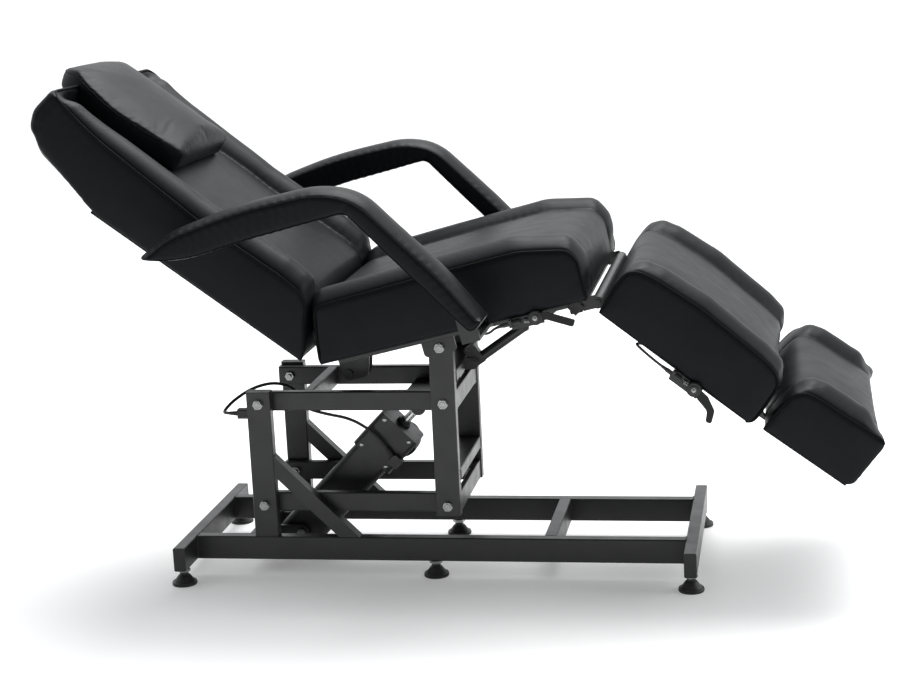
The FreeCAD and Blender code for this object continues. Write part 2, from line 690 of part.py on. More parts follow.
def make_back_brackets():
    """The hinge straps under the backrest panel and the lug of its gas strut."""
    hinge_a, hinge_n = local(-200.0, 482.0, back_x, back_z, back_slope)
    pieces = []
    for side in SIDES.values():
        y = span(side, 95.0, 110.0)
        strap = prism_y([(-150, 0), (-150, -8), (hinge_a - 4, -8), (hinge_a + 4, -2),
                         (hinge_a, hinge_n), (-3, 0)], y)
        barrel = rod_y(hinge_a, hinge_n, y, barrel_radius)
        hole = rod_y(hinge_a, hinge_n, (y[0] - 1, y[1] + 1), hinge_pin_radius + running_clearance)
        pieces.append(strap.fuse(barrel).cut(hole))
    top_a, top_n = local(*back_strut_top, back_x, back_z, back_slope)
    base = box((top_a - 25, top_a + 25), (-20, 20), (-4, 0))
    for side in SIDES.values():
        y = span(side, 8.0, 13.0)
        plate = box((top_a - 10, top_a + 10), y, (top_n, -4)).fuse(rod_y(top_a, top_n, y, 10.0))
        base = base.fuse(plate)
    pieces.append(base.fuse(rod_y(top_a, top_n, (-13, 13), hinge_pin_radius)).removeSplitter())
    return Part.makeCompound(pieces)


def make_legrest():
    hinge_a, hinge_n = local(358.0, 590.0, leg_x, leg_z, leg_slope)
    foot_a, foot_n = local(655.0, 360.0, leg_x, leg_z, leg_slope)
    tube_radius = 12.0
    shape = rod_y(hinge_a, hinge_n, (-249, 249), tube_radius)
    for side in SIDES.values():
        y = span(side, 120.0, 160.0)
        strap = prism_y([(hinge_a, -13), (foot_a - 14, -13), (foot_a, foot_n - barrel_radius),
                         (foot_a, foot_n), (foot_a - 16, foot_n), (foot_a - 16, -8), (hinge_a, -8)], y)
        barrel = rod_y(foot_a, foot_n, y, barrel_radius)
        pin = rod_y(foot_a, foot_n, span(side, 150.0, 196.0), 4.0)
        shape = shape.fuse([strap, barrel, pin])
    bore = [rod_y(hinge_a, hinge_n, span(side, 237.0, 250.0), actuator_pin_radius + running_clearance)
            for side in SIDES.values()]
    lever_a, lever_n = local(539.0, 430.0, leg_x, leg_z, leg_slope)
    mount = lever_mount(lever_a, lever_n, -8.0)
    end_x, end_y, end_z = leg_cable_route[-1]
    end_a, end_n = local(end_x, end_z, leg_x, leg_z, leg_slope)
    clip = box((end_a - 8, end_a + 8), (end_y, end_y + 16), (end_n - 5, -8))
    parts["legrest_frame"] = on_leg(Part.makeCompound([shape.cut(bore).removeSplitter(), mount, clip]))
    parts["legrest_panel"] = on_leg(box((6, 346), (-panel_half, panel_half), (-8, 7)))
    profile = [(8, 7), (-4, 40, 20), (-4, 84, 10), (10, 150), (330, 150), (357, 94, 14), (357, 7)]
    shape = cushion(profile, cushion_half, 7.0, 112.0, 129.0, 111.0)
    parts["legrest_cushion"] = on_leg(shape)


def make_footrest():
    hinge_a, hinge_n = local(655.0, 360.0, foot_x, foot_z, foot_slope)
    pieces = []
    for side in SIDES.values():
        y = span(side, 161.0, 190.0)
        strap = prism_y([(hinge_a, hinge_n), (hinge_a, hinge_n - barrel_radius), (150, -9), (150, -4),
                         (0, -4), (hinge_a + 6, hinge_n + 4)], y)
        barrel = rod_y(hinge_a, hinge_n, y, barrel_radius)
        hole = rod_y(hinge_a, hinge_n, (y[0] - 1, y[1] + 1), 4.0 + running_clearance)
        pieces.append(strap.fuse(barrel).cut(hole))
    parts["footrest_frame"] = on_foot(Part.makeCompound(pieces))
    parts["footrest_panel"] = on_foot(box((2, 186), (-panel_half, panel_half), (-4, 8)))
    profile = [(2, 8), (2, 84, 10), (12, 150), (150, 150), (214, 86, 10), (194, 8)]
    shape = cushion(profile, cushion_half, 8.0, 107.0, 127.0, 114.0)
    parts["footrest_cushion"] = on_foot(shape)


def lever_mount(pivot_a, pivot_n, under):
    """A bracket under a panel's right edge with the lever's bolt and the cable's adjuster."""
    foot = box((pivot_a - 50, pivot_a + 14), (-296, -250), (under - 4, under))
    plate = box((pivot_a - 50, pivot_a + 14), (-296, -293), (pivot_n - 14, under))
    bolt = rod_y(pivot_a, pivot_n, (-306, -293), 4.0)
    cap = rod_y(pivot_a, pivot_n, (-311, -306), 8.0)
    stop = box((pivot_a - 52, pivot_a - 46), (-309, -293), (pivot_n - 7, pivot_n + 7))
    adjuster = rod_x(pivot_a - 64, pivot_a - 30, 4.5, -303.0, pivot_n)
    return plate.fuse([foot, bolt, cap, stop, adjuster]).removeSplitter()


def lever(pivot_a, pivot_n, outline):
    """A flat release lever: a disc round the bolt and a handle."""
    disc = rod_y(pivot_a, pivot_n, (-305, -297), 14.0)
    handle = prism_y(outline, (-305, -297))
    hole = rod_y(pivot_a, pivot_n, (-310, -290), 4.0 + running_clearance)
    return disc.fuse(handle).cut(hole).removeSplitter()


def make_levers():
    pivot = local(244.0, 571.0, seat_x, seat_z, seat_slope)
    parts["tilt_lever_mount"] = on_seat(lever_mount(pivot[0], pivot[1], 45.0))
    s, n = pivot
    outline = [(s + 6, n + 7), (s + 22, n + 6, 8), (s + 72, n - 22, 4), (s + 66, n - 34, 5),
               (s + 20, n - 8, 8), (s + 6, n - 8)]
    parts["tilt_lever"] = on_seat(lever(s, n, outline))
    a, m = local(539.0, 430.0, leg_x, leg_z, leg_slope)
    outline = [(a + 6, m + 7), (a + 30, m + 4, 10), (a + 56, m - 10, 14), (a + 66, m - 34, 5),
               (a + 54, m - 36, 5), (a + 44, m - 18, 12), (a + 6, m - 8)]
    parts["leg_lever"] = on_leg(lever(a, m, outline))


def make_armrests():
    """Bent pads on steel brackets that stand on the seat rails."""
    profile = [(-492, 716, 3), (-428, 766, 180), (-289, 815, 900), (-140, 845, 190), (-62, 836, 125),
               (97, 682, 700), (170, 594, 14), (143, 568, 14), (-82, 797, 16), (-257, 754, 500),
               (-400, 712, 300)]
    s, n = 102.0, 37.0
    brackets = []
    for side in SIDES.values():
        foot = bar((s, s + 36), span(side, 183.0, 404.0), (n, 45.0), Y_AXIS, 1.5)
        stay = box((s, s + 36), span(side, 396.0, 404.0), (45.0, 84.0))
        brackets.append(on_seat(foot.fuse(stay).removeSplitter()))
    parts["armrest_brackets"] = Part.makeCompound(brackets)
    for name, side in SIDES.items():
        pad = prism_y(profile, span(side, 352.0, 448.0))
        parts["armrest_pad_" + name] = pad.cut(parts["armrest_brackets"])


def make_cables():
    parts["motor_cable"] = cable(motor_route, motor_cable_diameter, "motor_cable")
    x, y, z = motor_route[-1]
    back = rear_pivot_x - tube_width / 2
    parts["cable_connector"] = bar((x, back), (y - 10, y + 10), (z - 10, z + 10), X_AXIS, 3.0)
    parts["tilt_release_cable"] = cable(tilt_cable_route, release_cable_diameter, "tilt_release_cable")
    parts["leg_release_cable"] = cable(leg_cable_route, release_cable_diameter, "leg_release_cable")


def build():
    make_floor_frame()
    make_feet()
    make_plugs()
    make_base_bolts()
    make_arms()
    make_lift_head()
    make_actuator()
    cut_spindle_bore()
    make_struts()
    make_seat_frame()
    make_seat_pads()
    make_backrest()
    make_legrest()
    make_footrest()
    make_levers()
    make_armrests()
    make_cables()


def export():
    os.makedirs("parts", exist_ok=True)
    whole = FreeCAD.BoundBox()
    for name, shape in parts.items():
        shape = shape.copy()
        shape.translate(V(frame_shift, 0, 0))
        if not shape.isValid() or shape.Volume <= 0:
            print("check", name, shape.isValid(), shape.Volume)
        whole.add(shape.BoundBox)
        shape.exportStep("parts/" + name + ".step")
    print(len(parts), "parts; X", round(whole.XMin, 2), round(whole.XMax, 2), "Y", round(whole.YMin, 2),
          round(whole.YMax, 2), "Z", round(whole.ZMin, 2), round(whole.ZMax, 2))


build()
export()
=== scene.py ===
import bpy
import json
import math
from mathutils import Matrix, Vector, noise
from mathutils.bvhtree import BVHTree
from mathutils.kdtree import KDTree


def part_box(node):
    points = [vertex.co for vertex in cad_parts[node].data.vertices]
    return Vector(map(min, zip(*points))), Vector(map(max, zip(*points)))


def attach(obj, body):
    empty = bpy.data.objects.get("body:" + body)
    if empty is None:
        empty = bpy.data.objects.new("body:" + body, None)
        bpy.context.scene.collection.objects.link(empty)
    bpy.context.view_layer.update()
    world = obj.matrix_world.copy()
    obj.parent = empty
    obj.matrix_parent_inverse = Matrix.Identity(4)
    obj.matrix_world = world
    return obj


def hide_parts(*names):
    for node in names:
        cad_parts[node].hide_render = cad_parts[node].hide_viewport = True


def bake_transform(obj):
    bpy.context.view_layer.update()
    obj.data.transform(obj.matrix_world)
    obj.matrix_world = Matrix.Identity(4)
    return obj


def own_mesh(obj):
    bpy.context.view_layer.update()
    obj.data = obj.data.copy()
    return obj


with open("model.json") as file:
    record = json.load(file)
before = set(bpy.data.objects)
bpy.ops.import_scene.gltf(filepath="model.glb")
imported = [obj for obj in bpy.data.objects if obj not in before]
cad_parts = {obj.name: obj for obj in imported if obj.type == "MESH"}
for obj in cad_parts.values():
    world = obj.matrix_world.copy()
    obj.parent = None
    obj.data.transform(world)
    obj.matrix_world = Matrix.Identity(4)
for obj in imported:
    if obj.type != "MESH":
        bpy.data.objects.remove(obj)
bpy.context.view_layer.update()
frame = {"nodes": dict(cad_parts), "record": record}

# Facial treatment bed. Lengths are millimetres measured from the middle of the floor frame, turned
# into metres of the CAD frame by bed(). Soft pieces are drawn in the frame of their own section.

MM = 0.001
SIDES = {"right": -1, "left": 1}
CUSHION_HALF = 297.0      # half the cushions' width
BOLSTER = 95.0            # width of the roll along each side of a cushion
PIPING = 2.7              # radius of the piping
SIM_FRAMES = 20           # length of the cloth simulation
CREASE_REACH = 7.0        # how far from a seam its groove fades out
PIN_REACH = 4.5           # how far from a seam the cloth is held

head_bar, foot_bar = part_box("base_crossbar_head"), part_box("base_crossbar_foot")
ORIGIN_X = (head_bar[0].x + foot_bar[1].x) / 2 / MM


def bed(x, y, z):
    """A point given in millimetres from the middle of the floor frame, in metres of the CAD frame."""
    return Vector(((x + ORIGIN_X) * MM, y * MM, z * MM))


class Section:
    """A padded section's frame: s runs along its panel and n stands on it."""

    def __init__(self, x, z, degrees):
        self.x, self.z, self.angle = x, z, math.radians(degrees)

    def at(self, s, y, n):
        """A point of the section, given in millimetres, in metres of the CAD frame."""
        c, d = math.cos(self.angle), math.sin(self.angle)
        return bed(self.x + s * c - n * d, y, self.z + s * d + n * c)

    def way(self, s, n):
        """A direction of the section in the CAD frame."""
        c, d = math.cos(self.angle), math.sin(self.angle)
        return Vector((s * c - n * d, 0, s * d + n * c))


SEAT = Section(28.5, 483.0, 13.0)
BACK = Section(-220.0, 487.0, -36.6)
LEG = Section(366.0, 585.0, -38.0)
FOOT = Section(669.0, 352.0, -36.0)
LEVEL = Section(0.0, 0.0, 0.0)


# ---------------------------------------------------------------- camera and light

def make_camera():
    """A camera at standing height beside the foot end. Angles are in radians."""
    turn, pitch, roll = 0.180414, 0.210986, -0.047214
    lens_mm, sensor_mm = 74.37, 36.0
    stand = bed(733.65, -3793.63, 1279.9)
    forward = Vector((-math.sin(turn) * math.cos(pitch), math.cos(turn) * math.cos(pitch), -math.sin(pitch)))
    level_right = Vector((math.cos(turn), math.sin(turn), 0))
    level_up = level_right.cross(forward)
    right = level_right * math.cos(roll) + level_up * math.sin(roll)
    up = level_up * math.cos(roll) - level_right * math.sin(roll)
    data = bpy.data.cameras.new("camera")
    data.lens, data.sensor_width, data.clip_end = lens_mm, sensor_mm, 500
    camera = bpy.data.objects.new("camera", data)
    bpy.context.scene.collection.objects.link(camera)
    turned = Matrix((right, up, -forward)).transposed().to_4x4()
    camera.matrix_world = Matrix.Translation(stand) @ turned
    bpy.context.scene.camera = camera


def add_light(name, place, target, size, watts):
    """A square area light that the camera doesn't see. Places are in metres."""
    data = bpy.data.lights.new(name, "AREA")
    data.shape, data.size, data.energy = "SQUARE", size, watts
    light = bpy.data.objects.new(name, data)
    bpy.context.scene.collection.objects.link(light)
    light.location = Vector(place)
    light.rotation_euler = (Vector(target) - Vector(place)).to_track_quat("-Z", "Y").to_euler()
    light.visible_camera = False


def make_light():
    """Soft light from above and the foot end, a wide sun, and a world that is brighter to one side."""
    add_light("overhead", (0.3, 1.4, 4.2), (0, 0, 0.5), 3.5, 165)
    add_light("foot_end", (4.2, 0.4, 2.2), (0, 0, 0.6), 2.5, 60)
    sun = bpy.data.lights.new("sun", "SUN")
    sun.energy, sun.angle = 1.5, math.radians(40)
    lamp = bpy.data.objects.new("sun", sun)
    bpy.context.scene.collection.objects.link(lamp)
    lamp.rotation_euler = (math.radians(-24), math.radians(10), 0)
    world = bpy.data.worlds.new("studio")
    bpy.context.scene.world = world
    world.use_nodes = True
    tree = world.node_tree
    background = tree.nodes["Background"]
    coords = tree.nodes.new("ShaderNodeTexCoord")
    split = tree.nodes.new("ShaderNodeSeparateXYZ")
    tree.links.new(coords.outputs["Generated"], split.inputs[0])
    lift = tree.nodes.new("ShaderNodeMapRange")
    lift.inputs["From Min"].default_value, lift.inputs["From Max"].default_value = -0.9, 0.9
    lift.inputs["To Min"].default_value, lift.inputs["To Max"].default_value = 0.10, 1.15
    tree.links.new(split.outputs["Y"], lift.inputs["Value"])
    tree.links.new(lift.outputs["Result"], background.inputs["Strength"])
    background.inputs["Color"].default_value = (0.97, 0.985, 1.0, 1)
    bpy.context.scene.view_settings.view_transform = "Standard"


def make_floor():
    """A plain floor that runs on past the view."""
    reach = 80.0
    mesh = bpy.data.meshes.new("floor")
    corners = [(-reach, -reach, 0), (reach, -reach, 0), (reach, reach, 0), (-reach, reach, 0)]
    mesh.from_pydata(corners, [], [(0, 1, 2, 3)])
    floor = bpy.data.objects.new("floor", mesh)
    bpy.context.scene.collection.objects.link(floor)
    mesh.materials.append(LOOKS["floor"])


# ---------------------------------------------------------------- materials

class Look:
    """A procedural material: a Principled shader with noise on its colour, roughness and bump."""

    WAVES_PER_METRE = 3.18      # of a wave texture whose scale is 1

    def __init__(self, name, dark, light, rough, metallic=0.0, specular=0.5):
        self.material = bpy.data.materials.new(name)
        self.material.use_nodes = True
        self.tree = self.material.node_tree
        self.shader = self.tree.nodes["Principled BSDF"]
        self.place = self.tree.nodes.new("ShaderNodeTexCoord").outputs["Object"]
        self.normal = None
        self.shader.inputs["Metallic"].default_value = metallic
        self.shader.inputs["Specular IOR Level"].default_value = specular
        self.colour = self.mix(self.noise(9.0, 4.0), dark, light)
        self.set("Base Color", self.colour)
        self.rough = self.range(self.noise(28.0, 5.0), rough[0], rough[1])
        self.set("Roughness", self.rough)

    def node(self, kind, **values):
        node = self.tree.nodes.new("ShaderNode" + kind)
        for name, value in values.items():
            setattr(node, name, value)
        return node

    def feed(self, socket, value):
        """Links a socket to another, or sets its value."""
        if isinstance(value, bpy.types.NodeSocket):
            self.tree.links.new(value, socket)
        else:
            socket.default_value = value

    def set(self, name, value):
        self.feed(self.shader.inputs[name], value)

    def noise(self, scale, detail=2.0, stretch=None):
        """Noise over the piece, stretched along its axes if wanted."""
        node = self.node("TexNoise")
        node.inputs["Scale"].default_value = scale
        node.inputs["Detail"].default_value = detail
        place = self.place
        if stretch:
            mapping = self.node("Mapping")
            mapping.inputs["Scale"].default_value = stretch
            self.tree.links.new(place, mapping.inputs["Vector"])
            place = mapping.outputs["Vector"]
        self.tree.links.new(place, node.inputs["Vector"])
        return node.outputs["Fac"]

    def cells(self, scale, feature="F1"):
        node = self.node("TexVoronoi", feature=feature)
        node.inputs["Scale"].default_value = scale
        self.tree.links.new(self.place, node.inputs["Vector"])
        return node.outputs["Distance"]

    def weave(self, pitch):
        """Threads that cross, from two bands of waves."""
        heights = []
        for direction in ("X", "Y"):
            wave = self.node("TexWave", bands_direction=direction)
            wave.inputs["Scale"].default_value = 1 / pitch / self.WAVES_PER_METRE
            self.tree.links.new(self.place, wave.inputs["Vector"])
            heights.append(wave.outputs["Fac"])
        return self.math("MULTIPLY", *heights)

    def math(self, operation, first, second, clamp=False):
        node = self.node("Math", operation=operation, use_clamp=clamp)
        self.feed(node.inputs[0], first)
        self.feed(node.inputs[1], second)
        return node.outputs[0]

    def range(self, value, low, high, start=0.3, end=0.7):
        """Goes from low to high as the value goes from start to end."""
        node = self.node("MapRange")
        self.feed(node.inputs["Value"], value)
        for name, number in (("From Min", start), ("From Max", end), ("To Min", low), ("To Max", high)):
            node.inputs[name].default_value = number
        return node.outputs["Result"]

    def mix(self, factor, first, second):
        node = self.node("Mix", data_type="RGBA")
        self.feed(node.inputs["Factor"], factor)
        for socket, value in ((node.inputs[6], first), (node.inputs[7], second)):
            self.feed(socket, value if isinstance(value, bpy.types.NodeSocket) else (*value, 1.0))
        return node.outputs[2]

    def bump(self, height, depth):
        """Adds relief of a depth in metres to what the shader already has."""
        node = self.node("Bump")
        node.inputs["Distance"].default_value = depth
        self.tree.links.new(height, node.inputs["Height"])
        if self.normal:
            self.tree.links.new(self.normal, node.inputs["Normal"])
        self.normal = node.outputs["Normal"]
        self.set("Normal", self.normal)

    def wear(self, radius, colour, amount, rough=None):
        """Lightens edges sharper than a radius, unevenly, as handling does."""
        bevel = self.node("Bevel", samples=4)
        bevel.inputs["Radius"].default_value = radius
        geometry = self.node("NewGeometry")
        dot = self.node("VectorMath", operation="DOT_PRODUCT")
        self.tree.links.new(bevel.outputs["Normal"], dot.inputs[0])
        self.tree.links.new(geometry.outputs["Normal"], dot.inputs[1])
        edge = self.range(dot.outputs["Value"], 1.0, 0.0, 0.86, 0.985)
        uneven = self.range(self.noise(60.0, 4.0), 0.2, 1.0, 0.35, 0.6)
        mask = self.math("MULTIPLY", self.math("MULTIPLY", edge, uneven), amount, clamp=True)
        self.colour = self.mix(mask, self.colour, colour)
        self.set("Base Color", self.colour)
        if rough is not None:
            node = self.node("Mix")
            for socket, value in zip((0, 2, 3), (mask, self.rough, rough)):
                self.feed(node.inputs[socket], value)
            self.rough = node.outputs[0]
            self.set("Roughness", self.rough)


def make_looks():
    """All materials by name. Colours are (dark, light) pairs, then comes the roughness from low to high."""
    looks = {}

    vinyl = Look("black_vinyl", (0.0030, 0.0038, 0.0048), (0.0058, 0.0070, 0.0084), (0.40, 0.46),
                 specular=0.13)
    vinyl.bump(vinyl.noise(11.0, 2.0), 0.0007)
    vinyl.bump(vinyl.cells(720.0, "SMOOTH_F1"), 0.00014)
    vinyl.bump(vinyl.noise(2300.0, 1.0), 0.00005)
    looks["vinyl"] = vinyl

    piping = Look("piping_vinyl", (0.002, 0.0022, 0.0024), (0.004, 0.0042, 0.0045), (0.5, 0.62),
                  specular=0.08)
    piping.bump(piping.cells(900.0, "SMOOTH_F1"), 0.0002)
    looks["piping"] = piping

    thread = Look("thread", (0.008, 0.008, 0.009), (0.02, 0.02, 0.021), (0.55, 0.7))
    thread.bump(thread.noise(1800.0, 2.0, (1, 1, 3)), 0.0003)
    looks["thread"] = thread

    board = Look("dust_cover", (0.011, 0.011, 0.012), (0.02, 0.02, 0.021), (0.75, 0.9), specular=0.2)
    board.bump(board.weave(0.0016), 0.0003)
    board.bump(board.noise(420.0, 4.0), 0.0003)
    board.wear(0.002, (0.05, 0.048, 0.045), 0.5)
    looks["board"] = board

    paint = Look("satin_black_powder_coat", (0.0125, 0.013, 0.0135), (0.019, 0.019, 0.0195), (0.34, 0.44))
    paint.bump(paint.noise(850.0, 2.0), 0.00010)
    paint.bump(paint.noise(60.0, 2.0), 0.00025)
    paint.wear(0.0016, (0.07, 0.07, 0.068), 0.55, 0.32)
    looks["paint"] = paint

    zinc = Look("zinc_plate", (0.17, 0.175, 0.18), (0.34, 0.34, 0.335), (0.16, 0.32), metallic=1.0)
    zinc.bump(zinc.noise(500.0, 4.0), 0.0001)
    zinc.wear(0.0008, (0.8, 0.8, 0.8), 0.6, 0.2)
    looks["zinc"] = zinc

    rod = Look("ground_steel_rod", (0.55, 0.56, 0.57), (0.7, 0.7, 0.7), (0.13, 0.24), metallic=1.0)
    rod.bump(rod.noise(900.0, 3.0, (0.2, 1, 1)), 0.00004)
    looks["rod"] = rod

    plastic = Look("moulded_black_plastic", (0.010, 0.010, 0.011), (0.017, 0.017, 0.018), (0.42, 0.56))
    plastic.bump(plastic.noise(1100.0, 3.0), 0.00012)
    plastic.wear(0.001, (0.06, 0.06, 0.06), 0.4)
    looks["plastic"] = plastic

    casing = Look("actuator_casing", (0.011, 0.0115, 0.012), (0.018, 0.0185, 0.019), (0.30, 0.42))
    casing.bump(casing.cells(1300.0), 0.00012)
    casing.wear(0.0016, (0.06, 0.06, 0.06), 0.5)
    looks["casing"] = casing

    lever = Look("lever_black", (0.005, 0.005, 0.0055), (0.010, 0.010, 0.0105), (0.28, 0.4), specular=0.25)
    lever.bump(lever.noise(700.0, 3.0), 0.0001)
    lever.wear(0.0014, (0.12, 0.12, 0.118), 0.7, 0.3)
    looks["lever"] = lever

    rubber = Look("cable_jacket", (0.008, 0.008, 0.0085), (0.014, 0.014, 0.0145), (0.42, 0.55))
    rubber.bump(rubber.noise(900.0, 2.0), 0.00008)
    looks["rubber"] = rubber

    floor = Look("studio_floor", (0.86, 0.86, 0.86), (0.87, 0.87, 0.87), (0.85, 0.9), specular=0.1)
    floor.bump(floor.noise(30.0, 4.0), 0.0002)
    floor.set("Emission Color", (1, 1, 1, 1))
    floor.set("Emission Strength", 0.22)
    looks["floor"] = floor
    return {name: look.material for name, look in looks.items()}


def paint_nodes():
    """Gives every CAD node that stays in view its procedural material."""
    by_slot = {
        "frame_steel": "paint", "panel_board": "board", "zinc_fasteners": "zinc", "bright_rod": "rod",
        "black_plastic": "plastic", "actuator_black": "casing", "lever_black": "lever",
        "cable_rubber": "rubber", "upholstery": "vinyl",
    }
    for name, node in frame["nodes"].items():
        look = LOOKS[by_slot[SLOT_OF[name]]]
        if not node.material_slots:
            node.data.materials.append(look)
        for material_slot in node.material_slots:
            material_slot.material = look


# ---------------------------------------------------------------- mesh helpers

def make(name, verts, faces, look, body, smooth=True):
    """A new piece in a look, which rides on a body if one is given."""
    mesh = bpy.data.meshes.new(name)
    mesh.from_pydata([tuple(v) for v in verts], [], faces)
    mesh.validate()
    mesh.update()
    mesh.materials.append(LOOKS[look])
    if smooth:
        mesh.shade_smooth()
    piece = bpy.data.objects.new(name, mesh)
    bpy.context.scene.collection.objects.link(piece)
    if body:
        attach(piece, body)
    return piece


def tangents(path, closed=False):
    """The path's direction at each of its points."""
    count = len(path)
    ways = []
    for i in range(count):
        before = path[i - 1] if i or closed else path[0]
        after = path[(i + 1) % count] if i < count - 1 or closed else path[-1]
        ways.append((after - before).normalized())
    return ways


def tube(path, radius, sides=10, closed=False):
    """Verts and faces of a tube along a path. The radius is a number, or one number per point."""
    ways = tangents(path, closed)
    across = ways[0].orthogonal().normalized()
    verts, faces = [], []
    for i, (point, way) in enumerate(zip(path, ways)):
        if i:
            across = ways[i - 1].rotation_difference(way) @ across
        across = (across - way * across.dot(way)).normalized()
        other = way.cross(across)
        r = radius[i] if isinstance(radius, (list, tuple)) else radius
        for k in range(sides):
            angle = 2 * math.pi * k / sides
            verts.append(point + (across * math.cos(angle) + other * math.sin(angle)) * r)
    rings = len(path) if closed else len(path) - 1
    for i in range(rings):
        a, b = i * sides, (i + 1) % len(path) * sides
        for k in range(sides):
            faces.append((a + k, a + (k + 1) % sides, b + (k + 1) % sides, b + k))
    if not closed:
        faces.append(tuple(range(sides))[::-1])
        faces.append(tuple(range((len(path) - 1) * sides, len(path) * sides)))
    return verts, faces


def joined(shapes):
    """Several (verts, faces) shapes as one."""
    verts, faces = [], []
    for more_verts, more_faces in shapes:
        start = len(verts)
        verts += more_verts
        faces += [tuple(start + i for i in face) for face in more_faces]
    return verts, faces


def turned(start, end, profile, sides=24):
    """A turned shape: (distance, radius) pairs in millimetres along the line from start."""
    way = (end - start).normalized()
    path = [start + way * (d * MM) for d, _ in profile]
    verts, faces = [], []
    across = way.orthogonal().normalized()
    other = way.cross(across)
    for point, (_, r) in zip(path, profile):
        for k in range(sides):
            angle = 2 * math.pi * (k + 0.5) / sides
            verts.append(point + (across * math.cos(angle) + other * math.sin(angle)) * (r * MM))
    for i in range(len(path) - 1):
        for k in range(sides):
            a, b = i * sides, (i + 1) * sides
            faces.append((a + k, a + (k + 1) % sides, b + (k + 1) % sides, b + k))
    faces.append(tuple(range(sides))[::-1])
    faces.append(tuple(range((len(path) - 1) * sides, len(path) * sides)))
    return verts, faces


def ring(start, end, profile, bore, sides=32):
    """A turned shape with a bore through it."""
    inside = [(profile[-1][0], bore), (profile[0][0], bore), profile[0]]
    verts, faces = turned(start, end, profile + inside, sides)
    return verts, faces[:-2]


def coil(start, end, radius, turns, wire, steps=16):
    """A helical spring. The coil's and the wire's radii are in millimetres."""
    way = end - start
    across = way.orthogonal().normalized()
    other = way.normalized().cross(across)
    count = int(turns * steps)
    path = []
    for i in range(count + 1):
        angle = 2 * math.pi * i / steps
        around = (across * math.cos(angle) + other * math.sin(angle)) * (radius * MM)
        path.append(start + way * (i / count) + around)
    return tube(path, wire * MM, 8)


def rounded(corners, step=6.0):
    """Points at even steps round a closed outline of (s, n) or (s, n, corner radius) corners."""
    points = [Vector(c[:2]) for c in corners]
    count = len(points)
    raw = []
    for i, here in enumerate(points):
        radius = corners[i][2] if len(corners[i]) > 2 else 0.0
        to_last = (points[i - 1] - here).normalized()
        to_next = (points[(i + 1) % count] - here).normalized()
        half = to_last.angle(to_next) / 2
        if radius <= 0 or half > math.pi / 2 - 0.005:
            raw.append(here)
            continue
        centre = here + (to_last + to_next).normalized() * (radius / math.sin(half))
        first = here + to_last * (radius / math.tan(half)) - centre
        last = here + to_next * (radius / math.tan(half)) - centre
        sweep = first.angle(last)
        pieces = max(2, math.ceil(sweep * radius / step))
        for k in range(pieces + 1):
            t = k / pieces
            spoke = (first * math.sin((1 - t) * sweep) + last * math.sin(t * sweep)) / math.sin(sweep)
            raw.append(centre + spoke)
    return raw


def spaced(points, step):
    """The same open line with its points at even steps, both ends kept."""
    lengths = [0.0]
    for a, b in zip(points, points[1:]):
        lengths.append(lengths[-1] + (b - a).length)
    count = max(2, round(lengths[-1] / step))
    out, i = [], 0
    for k in range(count + 1):
        want = lengths[-1] * k / count
        while i < len(points) - 2 and lengths[i + 1] < want:
            i += 1
        gap = lengths[i + 1] - lengths[i]
        t = (want - lengths[i]) / gap if gap > 1e-9 else 0.0
        out.append(points[i].lerp(points[i + 1], min(1.0, max(0.0, t))))
    return out


def outward(points, closed=True):
    """Unit normals that point out of an outline."""
    count = len(points)
    area = sum(points[i - 1].x * points[i].y - points[i].x * points[i - 1].y for i in range(count))
    sign = 1.0 if area > 0 else -1.0
    normals = []
    for i in range(count):
        before = points[i - 1] if i or closed else points[0]
        after = points[(i + 1) % count] if i < count - 1 or closed else points[-1]
        way = (after - before).normalized()
        normals.append(Vector((way.y, -way.x)) * sign)
    return normals


def smoothstep(value, low, high):
    """0 up to low, 1 from high, and a smooth rise between them."""
    t = min(1.0, max(0.0, (value - low) / (high - low)))
    return t * t * (3 - 2 * t)


# ---------------------------------------------------------------- upholstery

# Cushions whose end could give way to the next cushion: the joint, the end that stays put, the share kept.
# The script reads these but moves no end with them.
YIELDS = {"footrest_cushion": ("foot_tilt", 200.0, 0.95)}


class Pad:
    """A stuffed piece: its outline swept across the bed, with rolls and creases, then blown up."""

    def __init__(self, name, body, section, corners, height, across, slide=None):
        self.name, self.body, self.section, self.slide = name, body, section, slide
        self.line = spaced(rounded(corners), 6.0)
        self.normals = outward(self.line)
        self.height = height
        self.across = across
        self.seams = []

    def point(self, i, y):
        """Where the cover passes at outline point i and at y, in metres."""
        p = self.line[i] + self.normals[i] * self.height(y, self.line[i], self.normals[i])
        along = self.slide(y, self.line[i]) if self.slide else 0.0
        return self.section.at(p.x + along, y, p.y)

    def seam(self, y):
        """The line that a seam at y follows over the pad, from one end of its outline to the other."""
        return [self.point(i, y) for i in range(len(self.line))]

    def build(self):
        """The cover as a closed mesh, before it is blown up."""
        count = len(self.line)
        verts = [self.point(i, y) for y in self.across for i in range(count)]
        faces = []
        for j in range(len(self.across) - 1):
            for i in range(count):
                k = (i + 1) % count
                a, b = j * count, (j + 1) * count
                faces.append((a + i, a + k, b + k, b + i))
        faces.append(tuple(range(count))[::-1])
        faces.append(tuple(range((len(self.across) - 1) * count, len(self.across) * count)))
        self.piece = make(self.name, verts, faces, "vinyl", None)


def evenly(low, high, step, *extra):
    """Numbers from low to high about a step apart, with the extra ones among them."""
    count = max(1, round((high - low) / step))
    values = {round(low + (high - low) * i / count, 3) for i in range(count + 1)} | set(extra)
    return sorted(values)


